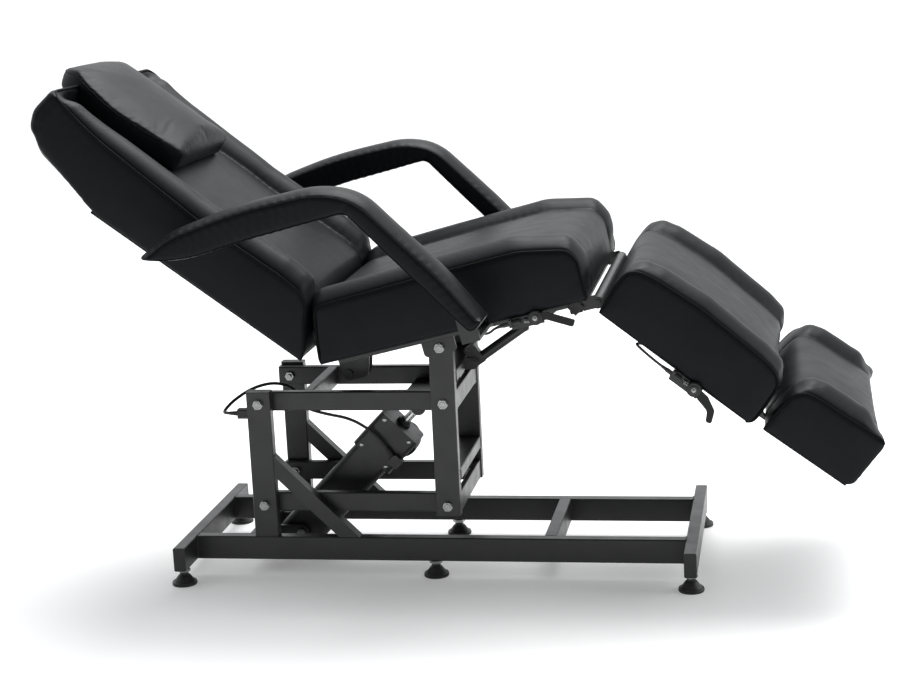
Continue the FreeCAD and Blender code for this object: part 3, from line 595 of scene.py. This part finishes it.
def rolls(crest, crease, crown):
    """Height over the side seams: a roll along each side and a lower, slightly crowned middle."""
    inner = CUSHION_HALF - BOLSTER

    def height(y):
        depth = CUSHION_HALF - abs(y)
        if depth <= BOLSTER:
            t = depth / BOLSTER
            return crest * max(0.0, math.sin(math.pi * t)) ** 0.75 + crease * t * t
        u = abs(y) / inner
        return crease + crown * (1 - u ** 6)
    return height


def plain_height(heights, base, face):
    """A cushion's height, fading out towards its panel and partly on its end faces."""
    across = rolls(*heights)

    def height(y, p, normal):
        share = smoothstep(p.y, base + 8, base + 60) * (1 - face * abs(normal.x))
        return across(y) * share
    return height


def back_height(y, p, normal):
    """The backrest's: its middle stays level while the side seams climb to the lip at the head."""
    level, lip_end = 118.0, 693.0
    depth = smoothstep(CUSHION_HALF - abs(y), 0, BOLSTER)
    dip = max(0.0, p.y - level) * depth if normal.y > 0.5 else 0.0
    roll = plain_height((31.0, 0.0, 4.0), 1.0, 0.8)(y, p, normal)
    return roll * (1 - smoothstep(-p.x, 640, lip_end)) - dip * (1 - smoothstep(-p.x, 668, lip_end))


def back_slide(y, p):
    """The head end meets the side panels in round corners."""
    radius = 24.0
    short = max(0.0, radius - (CUSHION_HALF - abs(y)))
    return (radius - math.sqrt(radius ** 2 - short ** 2)) * smoothstep(-p.x, 655, 690)


def foot_height(y, p, normal):
    """The foot rest's: its rolls run out before the end face."""
    roll = plain_height((26.0, 4.0, 4.0), -3.0, 1.0)(y, p, normal)
    return roll * (1 - smoothstep(p.x, 140, 196))


def foot_slide(y, p):
    """The end face is hollow across, so that its corners stand out."""
    return -13.0 * smoothstep(CUSHION_HALF - abs(y), 2, 80) * smoothstep(p.x, 120, 190)


def remesh(piece, size):
    """Even quads all over the piece, which the cloth needs."""
    modifier = piece.modifiers.new("even", "REMESH")
    modifier.mode, modifier.voxel_size = "VOXEL", size * MM
    applied(piece)


def applied(piece):
    """Replaces the piece's mesh with what its modifiers make of it."""
    graph = bpy.context.evaluated_depsgraph_get()
    mesh = bpy.data.meshes.new_from_object(piece.evaluated_get(graph))
    piece.modifiers.clear()
    old = piece.data
    piece.data = mesh
    bpy.data.meshes.remove(old)


def seam_tree(lines):
    """A search tree of the seams' points, with how far along its seam each one is."""
    points = [(p, along) for line in lines for p, along in measured(line)]
    tree = KDTree(len(points))
    for i, (p, _) in enumerate(points):
        tree.insert(p, i)
    tree.balance()
    return tree, [along for _, along in points]


def measured(line):
    """Points close together on a line, each with how far along it lies."""
    out, total, step = [], 0.0, 2.5 * MM
    for a, b in zip(line, line[1:]):
        gap = (b - a).length
        pieces = max(1, math.ceil(gap / step))
        for k in range(pieces):
            out.append((a.lerp(b, k / pieces), total + gap * k / pieces))
        total += gap
    out.append((line[-1], total))
    return out


def blow_up(pads):
    """Cloth under pressure, pinned along the seams and where the pad rests on its panel."""
    scene = bpy.context.scene
    starts = {}
    for pad in pads:
        remesh(pad.piece, pad.voxel)
        tree, _ = seam_tree(pad.seams)
        group = pad.piece.vertex_groups.new(name="sewn")
        low = [v.index for v in pad.piece.data.vertices
               if tree.find(v.co)[2] < PIN_REACH * MM or pad.rests(v.co)]
        group.add(low, 1.0, "REPLACE")
        starts[pad.name] = [v.co.copy() for v in pad.piece.data.vertices]
        cloth = pad.piece.modifiers.new("stuffing", "CLOTH")
        settings = cloth.settings
        settings.quality = 4
        settings.mass = 0.3
        settings.tension_stiffness = settings.compression_stiffness = 18
        settings.bending_stiffness = 0.6
        settings.use_pressure = True
        settings.uniform_pressure_force = 4.0
        settings.effector_weights.gravity = 0.0
        settings.vertex_group_mass = "sewn"
        cloth.collision_settings.use_collision = False
        cloth.point_cache.frame_end = SIM_FRAMES
    for number in range(1, SIM_FRAMES + 1):
        scene.frame_set(number)
    for pad in pads:
        applied(pad.piece)
        for v, start in zip(pad.piece.data.vertices, starts[pad.name]):
            move = v.co - start
            limit = pad.limit(start)
            if move.length > limit:
                v.co = start + move * (limit / move.length)
    scene.frame_set(1)


def finish_cover(pad):
    """Gathers along the seams and gives the cover its slight unevenness. Sizes are in millimetres."""
    pucker_pitch, pucker_place, pucker_width = 19.0, 9, 9
    wander_size, swell_size, ripple_size, groove_depth = 7, 0.8, 0.15, 1.6
    coarse, medium, fine = 6.0, 9.0, 31.0
    mesh = pad.piece.data
    tree, alongs = seam_tree(pad.seams)
    moves = []
    for v in mesh.vertices:
        _, index, gap = tree.find(v.co)
        gap /= MM
        along = alongs[index] / MM
        wander = wander_size * noise.noise(v.co * medium)
        near_seam = math.exp(-((gap - pucker_place) / pucker_width) ** 2)
        gather = math.sin(2 * math.pi * (along + wander) / pucker_pitch) * near_seam
        strength = max(0.0, noise.noise(v.co * coarse + Vector((3, 1, 7))) + 0.25)
        swell = swell_size * noise.noise(v.co * medium) + ripple_size * noise.noise(v.co * fine)
        groove = -groove_depth * math.exp(-(gap / CREASE_REACH * 2) ** 2)
        flat = 0.0 if pad.rests(v.co) else 1.0
        moves.append(v.normal * ((pad.gather * strength * gather + swell + groove) * flat * MM))
    for v, move in zip(mesh.vertices, moves):
        v.co += move
    mesh.shade_smooth()
    subdivision = pad.piece.modifiers.new("smooth", "SUBSURF")
    subdivision.levels = subdivision.render_levels = 1


def make_cushions():
    """The four padded sections, each from its outline in (s, n, corner radius) round its own board."""
    face_swell, top_swell = 2.5, 6.5
    slides = {"backrest_cushion": back_slide, "footrest_cushion": foot_slide}
    outlines = {
        "seat_cushion": ("seat", SEAT, 46.0, plain_height((26.0, 5.0, 4.0), 46.0, 0.55), [
            (-208, 46, 4), (-187, 158, 14), (17, 163, 500), (228, 166, 160), (320, 147, 16),
            (334, 124, 14), (334, 46, 6)]),
        "backrest_cushion": ("backrest", BACK, 1.0, back_height, [
            (-3, 1, 2), (-3, 17, 10), (-33, 62, 20), (-51, 95, 18), (-78, 115, 26), (-128, 119, 200),
            (-319, 115, 500), (-581, 132, 600), (-660, 149, 200), (-699, 158, 7), (-710, 100, 30),
            (-698, 67, 16), (-506, 3, 150)]),
        "legrest_cushion": ("legrest", LEG, -7.0, plain_height((23.0, -2.0, 5.0), -7.0, 0.9), [
            (2, -7, 3), (-4, 50, 80), (-3, 86, 16), (14, 101, 14), (48, 108, 60), (150, 115, 400),
            (300, 107, 200), (337, 101, 20), (355, 83, 16), (359, 20, 60), (358, -7, 12)]),
        "footrest_cushion": ("footrest", FOOT, -3.0, foot_height, [
            (-2, -3, 2), (-2, 48, 60), (5, 84, 16), (19, 101, 16), (45, 105, 60), (110, 106.5, 300),
            (197, 112, 4), (201, 98, 20), (197, -3, 18)]),
    }
    inner = CUSHION_HALF - BOLSTER
    pads = []
    for name, (body, section, base, height, corners) in outlines.items():
        near_side = [sign * (CUSHION_HALF - d) for sign in (-1, 1) for d in (1.0, 3.0, 5.0)]
        ys = evenly(-CUSHION_HALF, CUSHION_HALF, 9.0, -inner, inner, *near_side)
        pad = Pad(name, body, section, corners, height, ys, slides.get(name))
        pad.build()
        pad.seams = [pad.seam(y) for y in (-CUSHION_HALF, -inner, inner, CUSHION_HALF)]
        pad.base = base
        pad.voxel = 6.0
        pad.gather = 0.5
        pad.rests = resting(section, base)
        ends = [min(p.x for p in pad.line), max(p.x for p in pad.line)]
        pad.limit = face_limit(section, ends, face_swell * MM, top_swell * MM)
        pads.append(pad)
    return pads


def resting(section, base):
    """Tells which points lie on the panel below a pad."""
    slack = 5 * MM
    up = section.way(0, 1)
    level = section.at(0, 0, base).dot(up)

    def rests(point):
        return point.dot(up) < level + slack
    return rests


def face_limit(section, ends, at_face, elsewhere):
    """How far the cover may swell: less on the flat side and end faces than on top."""
    end_depth, side_depth = 12, 6
    along = section.way(1, 0)
    low = section.at(ends[0] + end_depth, 0, 0).dot(along)
    high = section.at(ends[1] - end_depth, 0, 0).dot(along)

    def limit(point):
        at_end = not low < point.dot(along) < high
        return at_face if at_end or abs(point.y) > (CUSHION_HALF - side_depth) * MM else elsewhere
    return limit


def side_path(pad, side):
    """The line of a side panel's piping, tucked in at the board.

    It stops at the foot rest's end corner, and at the backrest's head end.
    """
    path = []
    for p in pad.line:
        if pad.name == "footrest_cushion" and p.x > 190 and p.y < 104:
            break
        if pad.name == "backrest_cushion" and p.x < -680:
            break
        tuck = 8.0 * (1 - smoothstep(p.y, pad.base + 1, pad.base + 12))
        path.append(pad.section.at(p.x, side * (CUSHION_HALF + 1 - tuck), p.y))
    return path


def cushion_piping(pad):
    """Piping round both side panels. On the backrest it also crosses the head end."""
    surface = surface_of(pad.piece)
    right, left = [side_path(pad, side) for side in SIDES.values()]
    if pad.name == "backrest_cushion":
        lip = max(pad.line, key=lambda p: p.y)
        reach = CUSHION_HALF - 18
        across = [pad.section.at(lip.x - 2, y, lip.y + 2) for y in evenly(-reach, reach, 6.0)]
        paths = [right + across + left[::-1]]
    else:
        paths = [right, left]
    verts, faces = joined([tube(laid_on(surface, path), PIPING * MM, 8) for path in paths])
    piping = make(pad.name + "_piping", verts, faces, "piping", pad.body)
    if pad.name in YIELDS:
        joint, anchor, keep = YIELDS[pad.name]
        for piece in (pad.piece, piping):
            tuple(pad.section.way(1, 0))
            tuple(pad.section.at(anchor, 0, 0))
            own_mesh(piece)


def laid_on(surface, path):
    """The line moved onto a surface, half sunk, and evened out."""
    hits = [surface.find_nearest(p) for p in path]
    line = [hit[0] + hit[1] * (0.6 * PIPING * MM) for hit in hits]
    for _ in range(3):
        line = [line[0]] + [(a + b * 2 + c) / 4 for a, b, c in zip(line, line[1:], line[2:])] + [line[-1]]
    return line


def armrest_height(centre, half):
    """The armrest's cover: a crowned top that falls to the seams, and a nearly flat underside."""
    def height(y, p, normal):
        u = abs(y - centre) / half
        top = smoothstep(normal.y, -0.1, 0.45)
        return -13.0 * u ** 2.4 * top - 1.5 * u ** 6 * (1 - top)
    return height


def make_armrests():
    """Both armrests: one bent outline, with a short seam across each side at the bend."""
    outline = [(-492, 716, 3), (-428, 766, 180), (-289, 815, 900), (-140, 845, 190), (-62, 836, 125),
               (97, 682, 700), (170, 594, 14), (143, 568, 14), (-82, 797, 16), (-257, 754, 500),
               (-400, 712, 300)]
    bend = [(-83, 796), (-78, 812), (-70, 830)]
    half, middle = 46.0, 400.0
    pads = []
    for name, side in SIDES.items():
        centre = side * middle
        ys = evenly(centre - half, centre + half, 6.0)
        height = armrest_height(centre, half)
        pad = Pad("armrest_pad_" + name + "_cover", "seat", LEVEL, outline, height, ys)
        pad.build()
        pad.edges = [pad.seam(centre + sign * half) for sign in (-1, 1)]
        pad.seams = pad.edges + [[bed(x, centre + sign * half, z) for x, z in bend] for sign in (-1, 1)]
        pad.voxel = 4.5
        pad.gather = 1.2
        pad.rests = lambda point: False
        pad.limit = lambda point: 3.5 * MM
        pad.node = "armrest_pad_" + name
        pads.append(pad)
    return pads


def armrest_seams(pad):
    """Fine welts round the edges of both side panels."""
    surface = surface_of(pad.piece)
    shapes = []
    for line in pad.edges:
        hits = [surface.find_nearest(p) for p in line]
        path = [hit[0] + hit[1] * 0.2 * MM for hit in hits]
        shapes.append(tube(path, 1.1 * MM, 6, closed=True))
    verts, faces = joined(shapes)
    make(pad.piece.name + "_welt", verts, faces, "piping", pad.body)


def surface_of(piece):
    """A search tree of the piece's faces as they show."""
    graph = bpy.context.evaluated_depsgraph_get()
    return BVHTree.FromObject(piece, graph)


class Pillow:
    """The head pillow: straight across its lower end and round over the head end."""

    name, body, section, node = "headrest_pillow_cover", "backrest", BACK, "headrest_pillow"


def make_pillow():
    """The pillow, from its CAD solid rounded off, with one seam round its edge."""
    mesh = frame["nodes"]["headrest_pillow"].data.copy()
    mesh.materials.clear()
    mesh.materials.append(LOOKS["vinyl"])
    piece = bpy.data.objects.new("headrest_pillow_cover", mesh)
    bpy.context.scene.collection.objects.link(piece)
    remesh(piece, 5.0)
    smooth = piece.modifiers.new("round", "SMOOTH")
    smooth.factor, smooth.iterations = 0.5, 5
    applied(piece)
    pad = Pillow()
    pad.piece = piece
    half, low_end, head_end = 184.0, -490.0, -772.0
    plan = [(low_end, 8 - half, 10), (-600, -half - 4, 80), (head_end, 34 - half, 130),
            (head_end, half - 34, 130), (-600, half + 4, 80), (low_end, half - 8, 10)]
    surface = surface_of(piece)
    seam = []
    middle, low_rise, high_rise, head_fall = 163, 6, 5, 17
    for p in spaced(rounded(plan)[1:-1], 6.0):
        n = middle + low_rise * smoothstep(p.x, -540, -480) + high_rise * smoothstep(-p.x, 620, 700)
        n -= head_fall * smoothstep(-p.x, 715, 765)
        seam.append(surface.find_nearest(BACK.at(p.x, p.y, n))[0])
    pad.seams = [seam]
    pad.voxel = 5.0
    pad.gather = 0.5
    pad.rests = resting(BACK, 121.0)
    pad.limit = lambda point: 6.0 * MM
    return pad


def pillow_welt(pad):
    """A fine welt on the pillow's seam."""
    surface = surface_of(pad.piece)
    hits = [surface.find_nearest(p) for p in pad.seams[0]]
    path = [hit[0] + hit[1] * 0.4 * MM for hit in hits]
    verts, faces = tube(path, 1.3 * MM, 6)
    make("headrest_pillow_welt", verts, faces, "piping", pad.body)


def make_upholstery():
    """Every soft piece, blown up together, with its piping or welts."""
    cushions, armrests, pillow = make_cushions(), make_armrests(), make_pillow()
    pads = cushions + armrests + [pillow]
    blow_up(pads)
    for pad in pads:
        finish_cover(pad)
        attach(pad.piece, pad.body)
    for pad in cushions:
        pad.piece.name = pad.name + "_cover"
        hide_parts(pad.name)
        cushion_piping(pad)
    for pad in armrests:
        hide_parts(pad.node)
        armrest_seams(pad)
    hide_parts("headrest_pillow")
    pillow_welt(pillow)


# ---------------------------------------------------------------- cables

MOTOR_ROUTE = [
    (-103, -50, 228), (-120, -50, 258), (-150, -52, 288), (-190, -54, 312), (-240, -57, 322),
    (-284, -60, 336), (-296, -62, 376), (-338, -64, 393), (-386, -72, 384), (-424, -92, 362),
    (-440, -122, 344), (-428, -140, 345), (-402, -140, 345),
]
TILT_ROUTE = [
    (181.64, -303, 556.604), (168, -303, 553.455), (155, -299, 542), (141, -276, 535),
    (133, -240, 528), (127, -200, 519), (119, -160, 510), (104, -118, 499), (84, -74, 476),
    (60, -46, 446), (60, -11, 446),
]
LEG_ROUTE = [
    (488.566, -303, 469.403), (474.382, -303, 480.485), (455, -302, 497), (436, -292, 512),
    (430, -270, 513), (438, -250, 508), (452.9, -236, 501.3), (452.9, -214, 501.3),
]


def route_curve(name, route):
    """A NURBS curve with the route's points, in millimetres of the bed, as its control points."""
    data = bpy.data.curves.new(name, "CURVE")
    data.dimensions = "3D"
    spline = data.splines.new("NURBS")
    spline.points.add(len(route) - 1)
    for point, place in zip(spline.points, route):
        point.co = (*bed(*place), 1)
    spline.order_u = 3
    spline.use_endpoint_u = True
    data.resolution_u = 16
    curve = bpy.data.objects.new(name, data)
    bpy.context.scene.collection.objects.link(curve)
    return curve


def curve_points(curve):
    """The points along a curve as it shows."""
    mesh = bpy.data.meshes.new_from_object(curve)
    points = [v.co.copy() for v in mesh.vertices]
    bpy.data.meshes.remove(mesh)
    return points


def relief(name, points, start, length, radius, body):
    """A tapered, ribbed sleeve on the first stretch of a cable."""
    line, total = [points[0]], 0.0
    for a, b in zip(points, points[1:]):
        total += (b - a).length
        if total > length * MM:
            break
        line.append(b)
    line = [Vector(p) for p in spaced(line, 0.7 * MM)]
    radii = []
    for i in range(len(line)):
        t = i / (len(line) - 1)
        rib = 0.35 if i % 5 < 3 else 0.0
        radii.append((start + (radius - start) * t + rib * (1 - 0.5 * t)) * MM)
    verts, faces = tube(line, radii, 16)
    return make(name, verts, faces, "rubber", body)


def cable_tube(name, route, radius, sides):
    """A cable as a mesh tube, for a route that bends with a joint. Also gives its middle line."""
    curve = route_curve(name + "_line", route)
    points = curve_points(curve)
    bpy.data.objects.remove(curve)
    verts, faces = tube(points, radius * MM, sides)
    return make(name, verts, faces, "rubber", None), points


def make_motor_lead():
    """From the motor up to its connector on the frame."""
    cable, points = cable_tube("motor_lead", MOTOR_ROUTE, 3.25, 14)
    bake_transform(cable)
    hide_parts("motor_cable")
    relief("motor_lead_relief", points, 5.6, 24.0, 3.5, "actuator_body")
    relief("motor_lead_tail", points[::-1], 5.2, 20.0, 3.5, "base")


def make_tilt_release():
    """From the tilt lever back to the tilt strut."""
    cable, points = cable_tube("tilt_release_line", TILT_ROUTE, 2.5, 12)
    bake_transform(cable)
    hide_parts("tilt_release_cable")
    relief("tilt_release_ferrule", points, 3.6, 12.0, 2.8, "seat")


def make_leg_release():
    """From the leg lever up under the leg rest. It follows one body, so it stays a curve."""
    curve = route_curve("leg_release_line", LEG_ROUTE)
    points = curve_points(curve)
    curve.data.bevel_depth = 2.5 * MM
    curve.data.bevel_resolution = 5
    curve.data.use_fill_caps = True
    curve.data.materials.append(LOOKS["rubber"])
    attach(curve, "legrest")
    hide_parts("leg_release_cable")
    relief("leg_release_ferrule", points, 3.6, 12.0, 2.8, "legrest")


# ---------------------------------------------------------------- metal and plastic detail

BOLT_FACE = [(-1, 6.4), (0, 6.4), (0.7, 5.6), (0.7, 3.4), (0.2, 3.2)]
SHARP_ANGLE = math.radians(35)


def add(name, shapes, look, body, smooth=True):
    """One piece from several shapes. Smooth shading keeps the sharp corners of turned shapes."""
    verts, faces = joined(shapes)
    piece = make(name, verts, faces, look, body, smooth)
    if smooth:
        piece.data.set_sharp_from_angle(angle=SHARP_ANGLE)


def make_feet_detail():
    """Lock nuts and rubber rims of the levelling feet."""
    lock_nut = [(0, 12.0), (0.8, 13.6), (6.2, 13.6), (6.9, 12.2)]
    rim = [(0, 24.0), (0.4, 25.6), (3.4, 26.0), (5.4, 25.4), (6.4, 24.2)]
    feet = []
    for x in (-521.0, 521.0):
        feet += [(x, side * 212.0) for side in SIDES.values()]
    feet += [(-4.0, side * 139.5) for side in SIDES.values()]
    nuts = [turned(bed(x, y, 27), bed(x, y, 40), lock_nut, 6) for x, y in feet]
    add("foot_lock_nuts", nuts, "zinc", "base")
    grips = [turned(bed(x, y, 0.2), bed(x, y, 9), rim, 40) for x, y in feet]
    add("foot_rubber_rims", grips, "rubber", "base")


def bolt_faces(x, z, y=160.0, beyond=170.0):
    """The turned faces of a pair of bolt ends, one on each side, that point away from the middle."""
    return [turned(bed(x, side * y, z), bed(x, side * beyond, z), BOLT_FACE, 24) for side in SIDES.values()]


def make_bolt_faces():
    """The pivots of the lifting arms, and above them those of the seat."""
    upper_z, lower_z = 366.0, 152.0
    rear = bolt_faces(-356.0, upper_z) + bolt_faces(-356.0, lower_z)
    add("base_bolt_faces", rear, "zinc", "base")
    front = bolt_faces(29.0, upper_z) + bolt_faces(29.0, lower_z) + bolt_faces(28.5, 483, 166.5, 180)
    add("front_bolt_faces", front, "zinc", "lift_head")


def make_plugs():
    """Square plugs in the ends of the seat's front crossbar."""
    profile = [(0, 13.5), (0.6, 17.0), (2.4, 17.0), (3.2, 15.6)]
    plugs = [turned(SEAT.at(302.5, side * 261.0, 32.5), SEAT.at(302.5, side * 270, 32.5), profile, 4)
             for side in SIDES.values()]
    add("seat_crossbar_plugs", plugs, "plastic", "seat", smooth=False)


def make_lever_nuts():
    """The levers' pivot nuts, each on a plastic cap."""
    nut_profile = [(0, 5.8), (5.0, 5.8), (6.4, 4.6), (6.4, 3.4), (8.0, 3.2), (8.4, 2.4)]
    cap_profile = [(0, 13.4), (2.2, 13.4), (3.2, 12.2), (3.2, 6.0)]
    pivots = {"tilt_lever_nut": (244, 571, "seat"), "leg_lever_nut": (539, 430, "legrest")}
    for name, (x, z, body) in pivots.items():
        out = bed(x, -320, z)
        nut = turned(bed(x, -305.2, z), out, nut_profile, 6)
        cap = turned(bed(x, -305.1, z), out, cap_profile, 36)
        add(name, [nut], "zinc", body)
        add(name + "_cap", [cap], "plastic", body)


def make_actuator_detail():
    """The rod's gland, rings round the motor and the gearbox's screws, along the actuator's slope."""
    slope = Section(-310.0, 60.0, 45.5)
    gland_profile = [(0, 15), (1, 16), (6, 16), (7.5, 13), (11, 12), (12, 10.4)]
    gland = ring(slope.at(317, 0, 0), slope.at(340, 0, 0), gland_profile, 9.6)
    add("actuator_gland", [gland], "plastic", "actuator_body")
    motor_ring = [(0, 34.0), (0.5, 35.2), (2.5, 35.2), (3.0, 34.0)]
    motor_rings = [turned(slope.at(270, y, -25), slope.at(270, y + 10, -25), motor_ring, 48)
                   for y in (50, 57, 64, 71, 78, 85)]
    add("motor_cooling_rings", motor_rings, "casing", "actuator_body")
    screw_head = [(0, 4.6), (1.2, 4.4), (1.8, 3.2), (1.8, 1.8), (0.8, 1.7)]
    screws = []
    for s in (234, 309):
        for n in (-34.4, 34.4):
            for side in SIDES.values():
                start, end = slope.at(s, side * 41.6, n), slope.at(s, side * 60, n)
                screws.append(turned(start, end, screw_head, 20))
    add("gearbox_screws", screws, "zinc", "actuator_body")


def strut_detail(name, foot, top, end, body):
    """A collar and a gland at the end of a gas strut's cylinder, a distance from its foot pin."""
    a, b = bed(foot[0], 0, foot[1]), bed(top[0], 0, top[1])
    way = (b - a).normalized()
    start = a + way * (end * MM)
    collar = ring(start, b, [(-7, 10.7), (-6.5, 11.2), (-1, 11.2), (-0.4, 10.7)], 10.55)
    gland = ring(start, b, [(0.1, 10.0), (0.8, 9.0), (2.2, 7.2), (2.4, 6.2)], 5.4)
    add(name + "_gland", [collar, gland], "plastic", body)


def make_struts():
    """Both gas struts, from foot pin to top pin."""
    strut_detail("tilt_strut", (70, 418), (208, 512.9), 136, "tilt_strut_body")
    strut_detail("back_strut", (-205, 432), (-457.9, 636.3), 225, "back_strut_body")


def make_springs():
    """The levers' return springs."""
    radius, turns, wire = 4.2, 7, 0.6
    tilt = coil(bed(232, -301, 565), bed(221, -303, 565), radius, turns, wire)
    leg = coil(bed(529, -301, 438), bed(519, -303, 446), radius, turns, wire)
    add("tilt_lever_spring", [tilt], "zinc", "seat")
    add("leg_lever_spring", [leg], "zinc", "legrest")


def weld(path, seed):
    """A weld bead: a low ripple along a joint."""
    line = spaced([Vector(p) for p in path], 1.4 * MM)
    radii = [(1.5 + 0.3 * math.sin(i * 1.9) + 0.25 * noise.noise(Vector((i * 0.35, seed, 0)))) * MM
             for i in range(len(line))]
    return tube(line, radii, 8)


def make_welds():
    """Beads where the tubes of the floor frame, the uprights and the front frame meet."""
    beads = []
    for side in SIDES.values():
        for x in (-508.5, 508.5):
            for y in (127, 152):
                beads.append(weld([bed(x, side * y, 38), bed(x, side * y, 80)], x + y))
            beads.append(weld([bed(x, side * 128.5, 84), bed(x, side * 150.5, 84)], x))
        for y in (127.4, 151.6):
            beads.append(weld([bed(-379, side * y, 84), bed(-333, side * y, 84)], y))
        beads.append(weld([bed(-381, side * 129, 84), bed(-381, side * 150, 84)], 3))
        for x in (221, 246):
            beads.append(weld([bed(x, side * 127, 38), bed(x, side * 127, 80)], x))
        for z in (213, 256):
            beads.append(weld([bed(-331, side * 129, z), bed(-331, side * 150, z)], z))
    add("base_welds", beads, "paint", "base")
    beads = []
    for side in SIDES.values():
        for z in (405, 430, 199, 224):
            beads.append(weld([bed(7, side * 127, z), bed(51, side * 127, z)], z))
        for x in (4, 54):
            for z in (407, 201):
                beads.append(weld([bed(x, side * 127, z), bed(x, side * 127, z + 21)], x + z))
    add("lift_head_welds", beads, "paint", "lift_head")


# ---------------------------------------------------------------- the bed

SLOT_OF = {part["node"]: part["material_slot"] for part in frame["record"]["subparts"]}

LOOKS = make_looks()
make_camera()
make_light()
make_floor()
make_motor_lead()
make_tilt_release()
make_leg_release()
make_upholstery()
make_feet_detail()
make_bolt_faces()
make_plugs()
make_lever_nuts()
make_actuator_detail()
make_struts()
make_springs()
make_welds()
paint_nodes()
